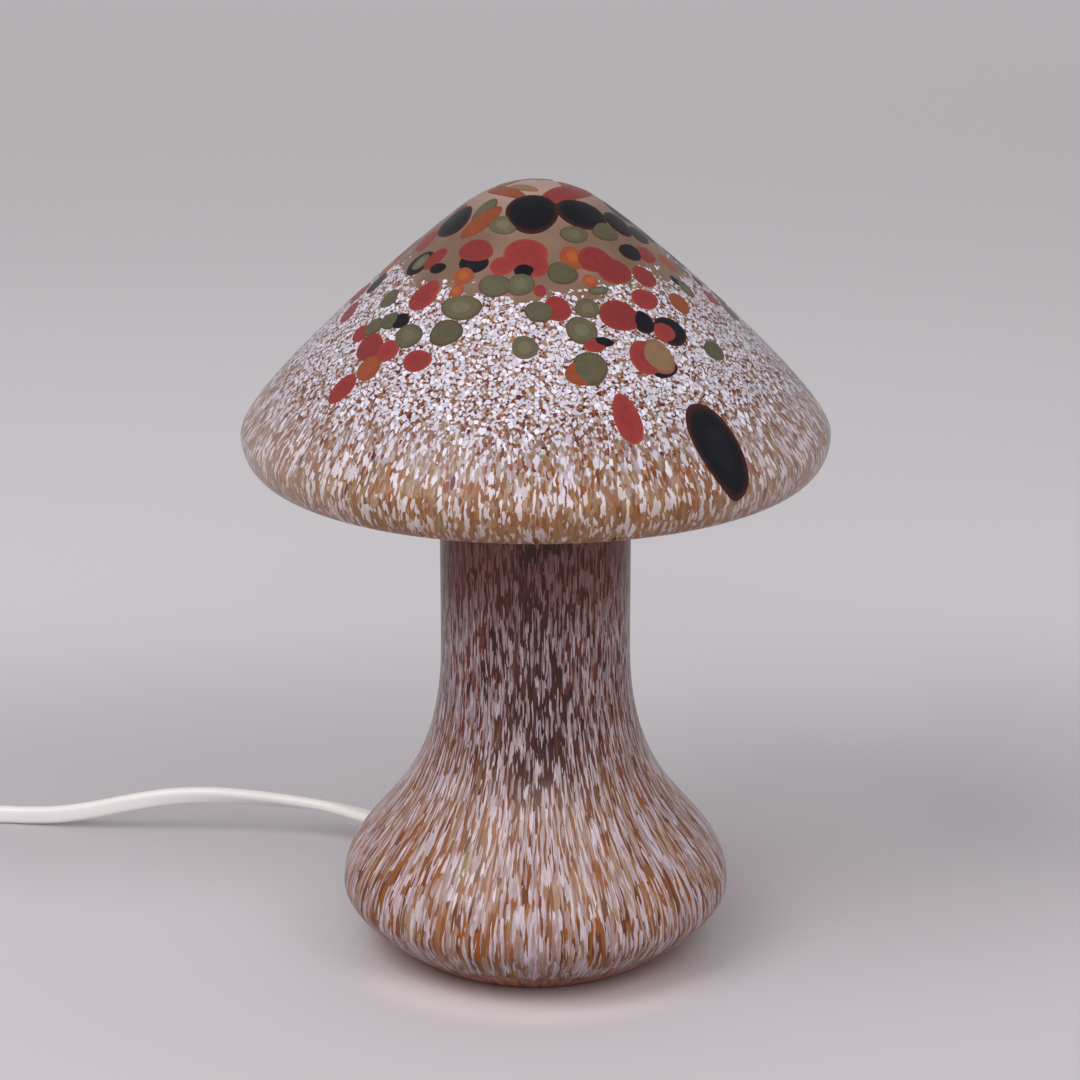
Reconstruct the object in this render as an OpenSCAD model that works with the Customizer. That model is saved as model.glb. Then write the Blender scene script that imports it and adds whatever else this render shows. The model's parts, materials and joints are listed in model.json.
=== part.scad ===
// Mushroom table lamp: a blown-glass shade that lifts off a blown-glass stem, with the lampholder,
// bulb, mains cord, inline switch and plug that make it work.
// Millimetres, +Z up, origin on the table under the lamp's axis, front towards -Y.

/* [Glass shade] */
// Widest diameter of the shade
shade_d = 198; // [180:1:230]
// Height of the crown above the shade's seat
shade_rise = 87.4; // [84:0.2:110]
// How far the rim hangs below the seat
shade_drop = 9; // [4:0.5:14]
// Radius of the rounded crown
crown_r = 38.5; // [32:0.5:44]
// Slope of the shade where the crown ends
crown_angle = 35; // [30:1:42]
// Length over which the flank keeps the crown's slope
crown_pull = 24; // [12:1:32]
// Length over which the flank turns upright at the rim
rim_pull = 10.4; // [6:0.2:18]
// Width of the rolled-under rim
rim_w = 9.9; // [8:0.1:14]
// Height of the rim below its widest point
rim_h = 12.4; // [9:0.2:18]
// Diameter of the mouth under the shade
mouth_d = 57; // [55:0.5:59]
// Thickness of the shade's glass
shade_wall = 4; // [3:0.1:5]

/* [Glass stem] */
// Height of the stem
stem_h = 180; // [170:1:210]
// Diameter of the neck
neck_d = 64.8; // [64:0.2:72]
// Height at which the neck starts to flare
flare_z = 110; // [100:1:120]
// Length over which the flare follows the neck
neck_pull = 60; // [45:1:68]
// Widest diameter of the belly
belly_d = 133.8; // [126:0.2:150]
// Height of the belly's widest point
belly_z = 23.4; // [20:0.2:30]
// Length over which the belly stays upright above its widest point
belly_pull = 25.7; // [18:0.1:32]
// Length over which the belly stays upright below its widest point
turn_pull = 6.6; // [4:0.2:10]
// Outer diameter of the ground foot ring
foot_d = 84; // [78:1:92]
// Width of the ground foot ring
foot_w = 7; // [4:0.5:10]
// Slope of the glass where it meets the foot ring
foot_angle = 27; // [18:1:35]
// Height of the hollow under the foot
foot_hollow = 2.5; // [1:0.5:4]
// Thickness of the stem's glass
stem_wall = 5; // [4:0.1:5.4]
// Thickness of the glass floor at the axis
floor_t = 9; // [7:0.5:10]

/* [Cord exit] */
// Direction of the cord hole, anticlockwise from +X
hole_az = 130; // [120:1:140]
// Diameter of the hole drilled in the glass
hole_d = 10.4; // [10:0.1:12]
// Place of the hole along the belly's turn, as a share of it
hole_share = 0.07; // [0.04:0.01:0.1]
// Length of the grommet's tapered sleeve
sleeve_l = 20; // [18:1:24]

/* [Shade carrier] */
// Thickness of the carrier plate
plate_t = 1.2; // [1:0.1:2]
// Thickness of the rubber seat ring
gasket_t = 1.4; // [1:0.1:2]
// Height of the carrier's collar above the plate
collar_h = 8.5; // [6:0.5:10]
// Thickness of the collar
collar_t = 1; // [0.8:0.1:1.4]
// Free play between collar and mouth, on the radius
collar_play = 1.1; // [0.8:0.1:1.6]
// Number of vents in the plate
vent_count = 6; // [3:3:6]
// Diameter of a vent
vent_d = 3.4; // [2:0.1:3.6]
// Width of a neck spring
spring_w = 8; // [7:0.5:9]
// Thickness of the spring steel
spring_t = 0.6; // [0.5:0.1:0.8]
// Length of a neck spring's leg
spring_l = 28; // [22:1:34]

/* [Lampholder] */
// Diameter of the threaded skirt
skirt_d = 28; // [27.5:0.1:28.4]
// Height of the skirt above the plate
skirt_up = 11; // [9:0.5:12]
// Height of the skirt below the plate
skirt_down = 12; // [11:0.5:14]
// Thickness of the holder's moulded walls
holder_wall = 1.7; // [1.4:0.1:1.8]
// Length of the holder's body below the skirt
body_l = 26; // [24:0.5:30]
// Inner diameter of the brass screw shell
shell_d = 14.3; // [14.2:0.1:14.6]
// Depth from the skirt's top to the centre contact
contact_depth = 22; // [21:0.5:23]

/* [Bulb] */
// Diameter of the bulb's ball
ball_d = 45; // [40:1:46]
// Overall length of the bulb
bulb_l = 72.5; // [70:0.5:76]
// Thickness of the bulb's glass
bulb_wall = 0.8; // [0.6:0.1:1]
// Major diameter of the bulb's screw cap
cap_d = 13.9; // [13.8:0.1:14]

/* [Cord] */
// Width of the flat two-core cord
cord_w = 6.8; // [6.4:0.1:7]
// Thickness of the flat cord
cord_t = 4.2; // [3.8:0.1:4.4]
// Gap between cord and what it passes through
cord_gap = 0.2; // [0.1:0.05:0.3]
// Outer radius of the coil, at the cord's middle
coil_out = 42.6; // [42:0.1:44]
// Inner radius of the coil, at the cord's middle
coil_in = 28.1; // [27.5:0.1:29]

/* [Inline switch] */
// Length of the switch
switch_l = 62; // [58:1:66]
// Width of the switch
switch_w = 22; // [21:0.5:26]
// Height of the switch at its middle
switch_h = 17; // [16:0.5:20]
// Height of the seam between base and cover
seam_z = 8; // [7.5:0.1:8.5]
// Thickness of the switch's moulded walls
switch_wall = 1.8; // [1.6:0.1:2]
// Length of the rocker
rocker_l = 21; // [19:0.5:23]
// Width of the rocker
rocker_w = 10; // [9:0.5:11]
// Swing of the rocker from off to on
rocker_swing = 14; // [10:1:16]

/* [Plug] */
// Width of the plug's body
plug_w = 35.3; // [32:0.1:37]
// Thickness of the plug's body
plug_t = 13.7; // [12:0.1:15]
// Length of the plug's body
plug_l = 34; // [30:1:38]
// Length of the plug's strain relief
relief_l = 26; // [22:1:30]
// Distance between the pins at the plug's face
pin_gap = 18.6; // [18.6:0.1:19]
// Length of a pin
pin_l = 19; // [19:0.1:19.5]
// Diameter of a pin's bare end
pin_d = 4; // [4:0.01:4.06]

/* [Hidden] */
$fn = 96;

// Clearances
seat_gap = 0.1;    // between stacked pieces of different bodies
slide_gap = 0.05;  // between a shaft or rivet and its hole
fit_gap = 0.15;    // between moulded pieces that plug together
spring_gap = 0.2;  // between a neck spring and the glass

// ---------------------------------------------------------------- curves

function bezier_at(p, t) = (1 - t)^3 * p[0] + 3 * (1 - t)^2 * t * p[1] + 3 * (1 - t) * t^2 * p[2] + t^3 * p[3];
function bezier_slope(p, t) =
    (1 - t)^2 * (p[1] - p[0]) + 2 * (1 - t) * t * (p[2] - p[1]) + t^2 * (p[3] - p[2]);
// The curve's points after its first
function bezier(p, n) = [for (i = [1:n]) bezier_at(p, i / n)];
function unit(v) = v / norm(v);
// The path moved to its right by d, its ends square to first and last
function inset(path, d, first, last) = [
    for (i = [0:len(path) - 1])
        let (way = i == 0 ? first : i == len(path) - 1 ? last : unit(path[i + 1] - path[i - 1]))
        path[i] + d * [way[1], -way[0]]
];
function reversed(list) = [for (i = [len(list) - 1:-1:0]) list[i]];
// A strip of thickness t along a path
function ribbon(path, t) =
    let (n = len(path) - 1, first = unit(path[1] - path[0]), last = unit(path[n] - path[n - 1]))
    concat(inset(path, t / 2, first, last), reversed(inset(path, -t / 2, first, last)));

// ---------------------------------------------------------------- glass shade

seat_z = stem_h + plate_t + gasket_t + seat_gap;
crown_z = seat_z + shade_rise;
shade_r = shade_d / 2;
rim_z = seat_z - shade_drop;
widest_z = rim_z + rim_h;
mouth_r = mouth_d / 2;
mouth_land = 4; // width of the ground edge that rests on the gasket

crown_end = [crown_r * sin(crown_angle), crown_z - crown_r + crown_r * cos(crown_angle)];
shade_path = concat(
    [for (i = [0:10])
        let (a = crown_angle * i / 10)
        [crown_r * sin(a), crown_z - crown_r + crown_r * cos(a)]],
    bezier([crown_end, crown_end + crown_pull * [cos(crown_angle), -sin(crown_angle)],
            [shade_r, widest_z + rim_pull], [shade_r, widest_z]], 18),
    [for (i = [1:10])
        let (a = 90 * i / 10)
        [shade_r - rim_w * (1 - cos(a)), widest_z - rim_h * sin(a)]],
    bezier([[shade_r - rim_w, rim_z], [shade_r - rim_w - 20, rim_z],
            [mouth_r + mouth_land + 16, seat_z], [mouth_r + mouth_land, seat_z]], 10),
    [[mouth_r, seat_z]]
);

module shade() {
    color("lightgray")
        rotate_extrude()
            polygon(concat(shade_path, reversed(inset(shade_path, shade_wall, [1, 0], [-1, 0]))));
}

// ---------------------------------------------------------------- glass stem

neck_r = neck_d / 2;
bore_r = neck_r - stem_wall;
belly_r = belly_d / 2;
foot_r = foot_d / 2;
foot_pull = 9.5;
turn_curve = [
    [belly_r, belly_z], [belly_r, belly_z - turn_pull],
    [foot_r + foot_pull * cos(foot_angle), foot_pull * sin(foot_angle)], [foot_r, 0]
];
// The side of the stem from the neck to the belly, w inside the outer face
function flare(w) = bezier([
    [neck_r - w, flare_z], [neck_r - w, flare_z - neck_pull],
    [belly_r - w, belly_z + belly_pull], [belly_r - w, belly_z]
], 24);
stem_outside = concat([[neck_r, stem_h], [neck_r, flare_z]], flare(0), bezier(turn_curve, 12));
stem_inside = concat(
    [[bore_r, stem_h], [bore_r, flare_z]], flare(stem_wall),
    bezier([[belly_r - stem_wall, belly_z], [belly_r - stem_wall, belly_z - 10],
            [foot_r, floor_t], [0, floor_t]], 12)
);
foot_underside = bezier([
    [foot_r - foot_w, 0], [foot_r - foot_w - 6, foot_hollow], [12, foot_hollow], [0, foot_hollow]
], 8);

// The cord hole's frame: its origin on the glass, +Z square to the glass and outwards
hole_place = bezier_at(turn_curve, hole_share);
hole_run = unit(bezier_slope(turn_curve, hole_share));
hole_tilt = atan2(-hole_run[0], -hole_run[1]);
module at_hole() {
    rotate([0, 0, hole_az])
        translate([hole_place[0], 0, hole_place[1]])
            rotate([0, 90 + hole_tilt, 0])
                children();
}

module stem() {
    color("rosybrown")
        difference() {
            rotate_extrude()
                polygon(concat(stem_outside, [[foot_r - foot_w, 0]], foot_underside, reversed(stem_inside)));
            at_hole()
                cylinder(d = hole_d, h = 8 * stem_wall, center = true);
        }
}

// ---------------------------------------------------------------- shade carrier

collar_r = mouth_r - collar_play;
plate_r = neck_r - 0.8;
plate_bore_r = skirt_d / 2 + fit_gap;
plate_top = stem_h + plate_t;
bead_r = 0.9; // radius of the rolled bead on the collar
rivet_place = 20.5;
rivet_r = 1.3;
spring_count = 3;

module seat_gasket() {
    color("white")
        translate([0, 0, plate_top])
            difference() {
                cylinder(r = neck_r - 0.4, h = gasket_t);
                translate([0, 0, -1])
                    cylinder(r = collar_r + fit_gap, h = gasket_t + 2);
            }
}

module around(count, first = 0) {
    for (i = [0:count - 1])
        rotate([0, 0, first + 360 * i / count])
            children();
}

module carrier_plate() {
    color("gainsboro")
        difference() {
            union() {
                translate([0, 0, stem_h])
                    cylinder(r = plate_r, h = plate_t);
                rotate_extrude() {
                    translate([collar_r - collar_t, stem_h])
                        square([collar_t, plate_t + collar_h - bead_r]);
                    translate([collar_r - bead_r, plate_top + collar_h - bead_r])
                        circle(r = bead_r, $fn = 24);
                }
            }
            translate([0, 0, stem_h - 1])
                cylinder(r = plate_bore_r, h = plate_t + 2);
            around(vent_count, 30)
                translate([rivet_place, 0, stem_h - 1])
                    cylinder(d = vent_d, h = plate_t + 2, $fn = 32);
            around(spring_count)
                translate([rivet_place, 0, stem_h - 1])
                    cylinder(r = rivet_r + slide_gap, h = plate_t + 2, $fn = 32);
        }
}

// A spring's strip: a tab under the plate, a leg that bows out to the glass and a turned-in toe
spring_outer_r = sqrt((bore_r - spring_gap)^2 - (spring_w / 2)^2) - spring_t / 2;
spring_path = concat(
    [[rivet_place - 3, -spring_t / 2], [spring_outer_r - 4, -spring_t / 2]],
    bezier([[spring_outer_r - 4, -spring_t / 2], [spring_outer_r - 1.6, -spring_t / 2],
            [spring_outer_r - 1.6, -3], [spring_outer_r - 1.5, -5]], 5),
    bezier([[spring_outer_r - 1.5, -5], [spring_outer_r - 0.9, -0.45 * spring_l],
            [spring_outer_r + 0.7, -0.7 * spring_l], [spring_outer_r - 1.2, -spring_l + 4]], 8),
    [[spring_outer_r - 3.4, -spring_l]]
);
spring_bow = max([for (p = spring_path) p[0]]) - spring_outer_r;

module neck_springs() {
    color("silver")
        around(spring_count)
            translate([0, 0, stem_h])
                difference() {
                    rotate([90, 0, 0])
                        linear_extrude(height = spring_w, center = true)
                            polygon(ribbon([for (p = spring_path)
                                p[0] > spring_outer_r - 3.9 ? p - [spring_bow, 0] : p], spring_t));
                    translate([rivet_place, 0, -2])
                        cylinder(r = rivet_r + slide_gap, h = 4, $fn = 32);
                }
}

module spring_rivets() {
    color("silver")
        around(spring_count)
            translate([rivet_place, 0, stem_h])
                rotate_extrude($fn = 32)
                    polygon([[0, -spring_t - 0.8], [2, -spring_t - 0.8], [2.2, -spring_t], [rivet_r, -spring_t],
                             [rivet_r, plate_t], [2.4, plate_t], [2, plate_t + 0.9], [0, plate_t + 1.1]]);
}

// ---------------------------------------------------------------- lampholder

skirt_r = skirt_d / 2;
skirt_top = plate_top + skirt_up;
skirt_bottom = stem_h - skirt_down;
shoulder_r = skirt_r + 2.4; // the skirt's shoulder, under the plate
shoulder_h = 2.4;
ring_r = skirt_r + 4.4;
ring_h = 4;
body_r = skirt_r - holder_wall; // the threaded top of the body, inside the skirt
body_top = skirt_bottom + 7;
body_bottom = skirt_bottom - body_l;
contact_z = skirt_top - contact_depth;
block_top = contact_z - 2.6;
block_h = 8;
block_r = body_r - holder_wall - fit_gap;
shell_t = 0.4;
contact_slot_l = 6.4;
grip_r = 7.4;
grip_h = 9;
cord_hole_r = 4.1;

module holder_skirt() {
    color("white")
        rotate_extrude()
            polygon([
                [skirt_r, skirt_bottom], [skirt_r, stem_h - shoulder_h - 1.6],
                [shoulder_r, stem_h - shoulder_h], [shoulder_r, stem_h], [skirt_r, stem_h],
                [skirt_r, skirt_top - 0.6], [skirt_r - 0.6, skirt_top],
                [body_r - 1.2, skirt_top], [body_r - 1.2, body_top + 0.5],
                [body_r + fit_gap, body_top + 0.5], [body_r + fit_gap, skirt_bottom]
            ]);
}

module holder_ring() {
    color("white")
        difference() {
            translate([0, 0, plate_top])
                rotate_extrude()
                    polygon([[skirt_r + slide_gap, 0], [ring_r, 0], [ring_r, ring_h - 1],
                             [ring_r - 1, ring_h], [skirt_r + slide_gap, ring_h]]);
            around(12)
                translate([ring_r + 0.6, 0, plate_top - 1])
                    cylinder(r = 1.3, h = ring_h + 2, $fn = 24);
        }
}

module holder_body() {
    color("white")
        difference() {
            rotate_extrude()
                polygon([
                    [body_r, body_top], [body_r, skirt_bottom - fit_gap], [skirt_r, skirt_bottom - fit_gap],
                    [skirt_r, skirt_bottom - 9], [grip_r, body_bottom + 2], [grip_r, body_bottom],
                    [cord_hole_r, body_bottom], [cord_hole_r, body_bottom + 2.4],
                    [body_r - holder_wall, block_top - block_h - 0.1], [body_r - holder_wall, body_top]
                ]);
            around(2, 90)
                translate([grip_r - 1.7, 0, body_bottom - 1])
                    cylinder(r = 0.9, h = 3, $fn = 24);
        }
}

module contact_block() {
    color("ivory")
        difference() {
            translate([0, 0, block_top - block_h])
                cylinder(r = block_r, h = block_h);
            // A slot under the centre contact, and a well for each terminal screw
            translate([-contact_slot_l / 2, -1.7, block_top - 2])
                cube([contact_slot_l, 3.4, 3]);
            around(2)
                translate([block_r - 3.2, 0, block_top - block_h - 1])
                    cylinder(r = 1.9, h = block_h + 2, $fn = 32);
        }
}

module screw_shell() {
    shell_r = shell_d / 2;
    color("gold")
        rotate_extrude()
            polygon([
                [3.6, block_top], [shell_r + shell_t, block_top], [shell_r + shell_t, skirt_top - 3],
                [shell_r + shell_t + 0.7, skirt_top - 2.2], [shell_r + 0.7, skirt_top - 2.2],
                [shell_r, skirt_top - 3], [shell_r, block_top + shell_t], [3.6, block_top + shell_t]
            ]);
}

// A strip bent up from the slot in the block to the bulb's end contact
module centre_contact() {
    strip_t = 0.5;
    rise = contact_z - seat_gap - block_top + 2 - strip_t;
    color("gold")
        translate([0, 0, block_top - 2 + strip_t / 2])
            rotate([90, 0, 0])
                linear_extrude(height = 2.8, center = true)
                    polygon(ribbon(concat([[2.3, 0], [-1.2, 0]],
                        bezier([[-1.2, 0], [-3.4, 0.2], [-2.6, rise], [0, rise]], 8),
                        [[1.4, rise - 0.4]]), strip_t));
}

module terminal_screws() {
    color("gold")
        around(2)
            translate([block_r - 3.2, 0, block_top - block_h])
                difference() {
                    union() {
                        translate([0, 0, -1.6])
                            cylinder(r = 1.8, h = 1.6, $fn = 32);
                        cylinder(r = 1.5, h = block_h - 1, $fn = 32);
                    }
                    translate([-2, -0.3, -2])
                        cube([4, 0.6, 1]);
                }
}

// The flat cord's cross-section, grown by g on every side
module cord_section(g) {
    square([cord_t + 2 * g, cord_w - cord_t], center = true);
    for (side = [-1, 1])
        translate([0, side * (cord_w - cord_t) / 2])
            circle(d = cord_t + 2 * g, $fn = 32);
}

module cord_grip() {
    color("white")
        translate([0, 0, body_bottom - grip_h])
            rotate([0, 0, hole_az])
                difference() {
                    union() {
                        cylinder(r = grip_r, h = grip_h);
                        around(2, 90 - hole_az)
                            translate([grip_r - 1.7, 0, grip_h])
                                cylinder(r = 0.8, h = 1.8, $fn = 24);
                    }
                    translate([0, 0, -1])
                        linear_extrude(height = grip_h + 2)
                            cord_section(cord_gap);
                    rotate([0, 90, 0])
                        translate([-grip_h / 2, 0, 0])
                            cylinder(r = 1.5 + slide_gap, h = grip_r + 2, $fn = 32);
                }
}

module grip_screw() {
    reach = cord_t / 2 + cord_gap;
    color("silver")
        translate([0, 0, body_bottom - grip_h / 2])
            rotate([0, 0, hole_az])
                rotate([0, 90, 0])
                    difference() {
                        union() {
                            translate([0, 0, reach])
                                cylinder(r = 1.5, h = grip_r + 0.4 - reach, $fn = 32);
                            translate([0, 0, grip_r + 0.2])
                                cylinder(r = 2.6, h = 1.6, $fn = 32);
                        }
                        translate([-3, -0.4, grip_r + 1])
                            cube([6, 0.8, 2]);
                    }
}

// ---------------------------------------------------------------- bulb

tip_h = 1.2;
insulator_h = 3;
bulb_cap_h = 19;
cap_z = contact_z + tip_h + insulator_h;
cap_top = cap_z + bulb_cap_h;
cap_r = cap_d / 2;
ball_r = ball_d / 2;
ball_z = contact_z + bulb_l - ball_r;
globe_neck_r = cap_r - 0.7;
globe_foot = cap_top - 5;
neck_angle = 52; // where the neck leaves the ball, below its middle

function globe_path(w) = concat(
    [[globe_neck_r - w, globe_foot], [globe_neck_r - w, cap_top]],
    bezier([
        [globe_neck_r - w, cap_top], [globe_neck_r - w, cap_top + 6],
        [(ball_r - w) * cos(neck_angle) - 5 * sin(neck_angle),
         ball_z - (ball_r - w) * sin(neck_angle) - 5 * cos(neck_angle)],
        [(ball_r - w) * cos(neck_angle), ball_z - (ball_r - w) * sin(neck_angle)]
    ], 8),
    [for (i = [1:16])
        let (a = -neck_angle + (90 + neck_angle) * i / 16)
        [(ball_r - w) * cos(a), ball_z + (ball_r - w) * sin(a)]]
);

module bulb_globe() {
    color("white")
        rotate_extrude()
            polygon(concat(globe_path(0), reversed(globe_path(bulb_wall))));
}

// The screw cap, with round-topped thread ridges
module bulb_cap() {
    ridge_count = 5;
    pitch = 2.82;
    color("silver")
        rotate_extrude()
            polygon(concat(
                [[cap_r - 1.4, cap_z], [cap_r - 0.7, cap_z]],
                [for (i = [0:8 * ridge_count])
                    [cap_r - 0.35 - 0.35 * cos(45 * i), cap_z + 0.8 + pitch * i / 8]],
                [[globe_neck_r + 0.45, cap_z + pitch * ridge_count + 1.4], [globe_neck_r + 0.45, cap_top],
                 [globe_neck_r + slide_gap, cap_top], [globe_neck_r + slide_gap, globe_foot - 0.1],
                 [cap_r - 1.4, globe_foot - 0.1]]
            ));
}

module bulb_insulator() {
    color("black")
        translate([0, 0, contact_z + tip_h])
            cylinder(r1 = 3, r2 = cap_r - 1.2, h = insulator_h);
}

module bulb_contact() {
    color("silver")
        translate([0, 0, contact_z])
            rotate_extrude($fn = 48)
                polygon([[0, 0], [1.2, 0.1], [2.1, 0.6], [2.3, tip_h], [0, tip_h]]);
}

wire_lean = 14; // of the two lead wires, outwards
wire_x = 1.5;
wire_r = 0.4;
wire_foot = cap_top + 4;
wire_top = ball_z - 4;

module bulb_mount() {
    color("lightgray") {
        translate([0, 0, cap_z])
            cylinder(r1 = cap_r - 1.6, r2 = 3.4, h = 10, $fn = 48);
        translate([0, 0, cap_z + 10])
            cylinder(r = 2.4, h = bulb_cap_h - 4, $fn = 48);
        for (side = [-1, 1])
            translate([side * wire_x, 0, wire_foot])
                rotate([0, side * wire_lean, 0])
                    cylinder(r = wire_r, h = (wire_top - wire_foot) / cos(wire_lean), $fn = 16);
    }
}

// A coiled filament slung between the two lead wires
module bulb_filament() {
    coil_r = 0.45;
    height = wire_top - 0.6;
    reach = wire_x + (height - coil_r - wire_foot) * tan(wire_lean) - wire_r / cos(wire_lean) - 0.05;
    color("gray")
        translate([0, 0, height])
            rotate([0, 90, 0])
                cylinder(r = coil_r, h = 2 * reach, center = true, $fn = 24);
}

// ---------------------------------------------------------------- cord

grommet_neck_r = hole_d / 2 - 0.2;
flange_r = hole_d / 2 + 2.6;
flange_t = 2.2;
grommet_in = 8.4; // how deep its inner flange sits

module cord_grommet() {
    color("white")
        at_hole()
            difference() {
                rotate_extrude()
                    polygon([
                        [0, -grommet_in - 1.6], [grommet_neck_r + 1.6, -grommet_in - 1.6],
                        [grommet_neck_r + 1.9, -grommet_in], [grommet_neck_r, -grommet_in],
                        [grommet_neck_r, 0.3],
                        [flange_r, 0.5], [flange_r, flange_t - 0.6], [flange_r - 0.6, flange_t],
                        [6, flange_t], [4.7, flange_t + sleeve_l], [0, flange_t + sleeve_l]
                    ]);
                translate([0, 0, -grommet_in - 2])
                    linear_extrude(height = grommet_in + flange_t + sleeve_l + 4)
                        cord_section(cord_gap);
            }
}

// Rings of a flat tube: each ring's middle p, its way along the route and its wide direction
function section_ring(p, wide, thin) = [
    for (i = [0:11])
        let (a = 30 * i + 15, shift = (cord_w - cord_t) / 2 * sign(cos(a)))
        p + (cord_t / 2 * cos(a) + shift) * wide + cord_t / 2 * sin(a) * thin
];
function way_at(route, i) = unit(
    i == 0 ? route[1] - route[0] : i == len(route) - 1 ? route[i] - route[i - 1]
    : unit(route[i + 1] - route[i]) + unit(route[i] - route[i - 1]));

module swept(rings) {
    n = len(rings[0]);
    m = len(rings);
    polyhedron(
        points = [for (r = rings) each r],
        faces = concat(
            [[for (j = [0:n - 1]) j]],
            [for (i = [0:m - 2], j = [0:n - 1])
                let (k = (j + 1) % n)
                each [[i * n + j, (i + 1) * n + j, (i + 1) * n + k], [i * n + j, (i + 1) * n + k, i * n + k]]],
            [[for (j = [n - 1:-1:0]) (m - 1) * n + j]]
        )
    );
}

// The mouth of the grommet's sleeve, in the plane of the hole: distance from the axis and height
sleeve_end = hole_place + (flange_t + sleeve_l) * [cos(hole_tilt), -sin(hole_tilt)];
hole_out = [cos(hole_az), sin(hole_az), 0];
hole_side = [-sin(hole_az), cos(hole_az), 0];
exit_point = sleeve_end[0] * hole_out + [0, 0, sleeve_end[1]];
exit_way = cos(hole_tilt) * hole_out - [0, 0, sin(hole_tilt)];

// Inside the lamp: from the sleeve's mouth up the middle of the stem, as distance from the axis and height
inner_route = [
    sleeve_end, hole_place, hole_place - 12 * [cos(hole_tilt), -sin(hole_tilt)],
    [42, 28.5], [30, 34], [19, 42.5], [10, 54], [4, 68], [1, 84], [0, 100], [0, 120]
];
inner_top = body_bottom + 5;

module inner_cord() {
    route = concat([for (p = inner_route) p[0] * hole_out + [0, 0, p[1]]], [[0, 0, inner_top]]);
    color("white")
        swept([for (i = [0:len(route) - 1])
            section_ring(route[i], hole_side, cross(way_at(route, i), hole_side))]);
}

// The two cores, from the end of the sheath to the terminal screws
module core_wires() {
    core_r = 1;
    core_top = block_top - block_h - 1.7;
    start = (cord_w - cord_t) / 2;
    color("peru")
        for (side = [-1, 1]) {
            from = [0, 0, inner_top + 0.7] - start * side * hole_side;
            to = [side * (block_r - 3.2), 0, core_top];
            lean = to - from;
            translate(from)
                rotate([0, acos(lean[2] / norm(lean)), atan2(lean[1], lean[0])])
                    cylinder(r = core_r, h = norm(lean) - 0.6, $fn = 24);
        }
}

// The free cord: x, y and z of its middle and the turn of its wide side from level, in degrees
switch_x = -240;
switch_y = 37;
cord_z = 7;
lead_route = [
    [-66.5, 78, 14.4, 5], [-78, 85.5, 14.4, 18], [-93, 89.5, 15, 36], [-108, 91, 16, 54],
    [-123, 92, 16.4, 70], [-138, 93.5, 15.2, 80], [-153, 95.5, 12, 88], [-168, 98, 8, 90],
    [-182, 101, 4.9, 90], [-195, 103.5, 3.6, 90], [-207, 104.5, 3.5, 90], [-218, 102, 3.5, 80],
    [-228, 95.5, 3.8, 60], [-235.5, 86, 4.8, 30], [-239, 78, 6.4, 8], [-240, 71, 7, 0]
];
tail_route = [[-240, 3, 7, 0], [-240, -3, 6.5, 12], [-240, -10, 5.1, 45], [-240.3, -18, 4.4, 80]];
end_route = [
    [-318, 2, 10.4, 90], [-317, 14, 9, 90], [-313, 25, 6.8, 70], [-308.5, 34, 6.4, 35]
];
coil_x = -282.9;
coil_y = -20;
coil_foot = 0.6; // the tie's thickness, on which the coil lies
coil_h = 2 * cord_w + 0.2;
switch_mouth = switch_l / 2 - 6;
plug_x = -305;
plug_y = 44; // the mouth of the plug's strain relief
plug_z = plug_t / 2;

function on_route(rows) = [for (r = rows) [r[0], r[1], r[2]]];
// A ring for each point, its wide side turned from level; first and last ways are given
function free_rings(rows, first, last) = let (route = on_route(rows)) [
    for (i = [0:len(route) - 1])
        let (way = i == 0 ? first : i == len(route) - 1 ? last : way_at(route, i),
             level = unit(cross([0, 0, 1], way)), up = cross(way, level), a = rows[i][3],
             wide = cos(a) * level + sin(a) * up)
        section_ring(route[i], wide, cross(way, wide))
];

module cord_lead() {
    rows = concat([[for (v = exit_point) v, 0] ], lead_route,
                  [[switch_x, switch_y + switch_mouth, cord_z, 0]]);
    color("white")
        swept(free_rings([for (r = rows) len(r) == 4 ? r : [r[0], r[1], r[2], 0]], exit_way, [0, -1, 0]));
}

module cord_tail() {
    rows = concat([[switch_x, switch_y - switch_mouth, cord_z, 0]], tail_route);
    color("white")
        swept(free_rings(rows, [0, -1, 0], [0, -1, 0]));
}

module cord_coil() {
    color("white")
        translate([coil_x, coil_y, coil_foot])
            rotate_extrude()
                polygon([
                    [coil_in - cord_t / 2, 1.5], [coil_in - cord_t / 2 + 1, 0], [coil_out + cord_t / 2 - 1, 0],
                    [coil_out + cord_t / 2, 1.5], [coil_out + cord_t / 2, coil_h - 1.5],
                    [coil_out + cord_t / 2 - 1, coil_h], [coil_in - cord_t / 2 + 1, coil_h],
                    [coil_in - cord_t / 2, coil_h - 1.5]
                ]);
}

module cord_end() {
    rows = concat(end_route, [[plug_x, plug_y, plug_z, 0]]);
    color("white")
        swept(free_rings(rows, [0, 1, 0], [0, 1, 0]));
}

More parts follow.
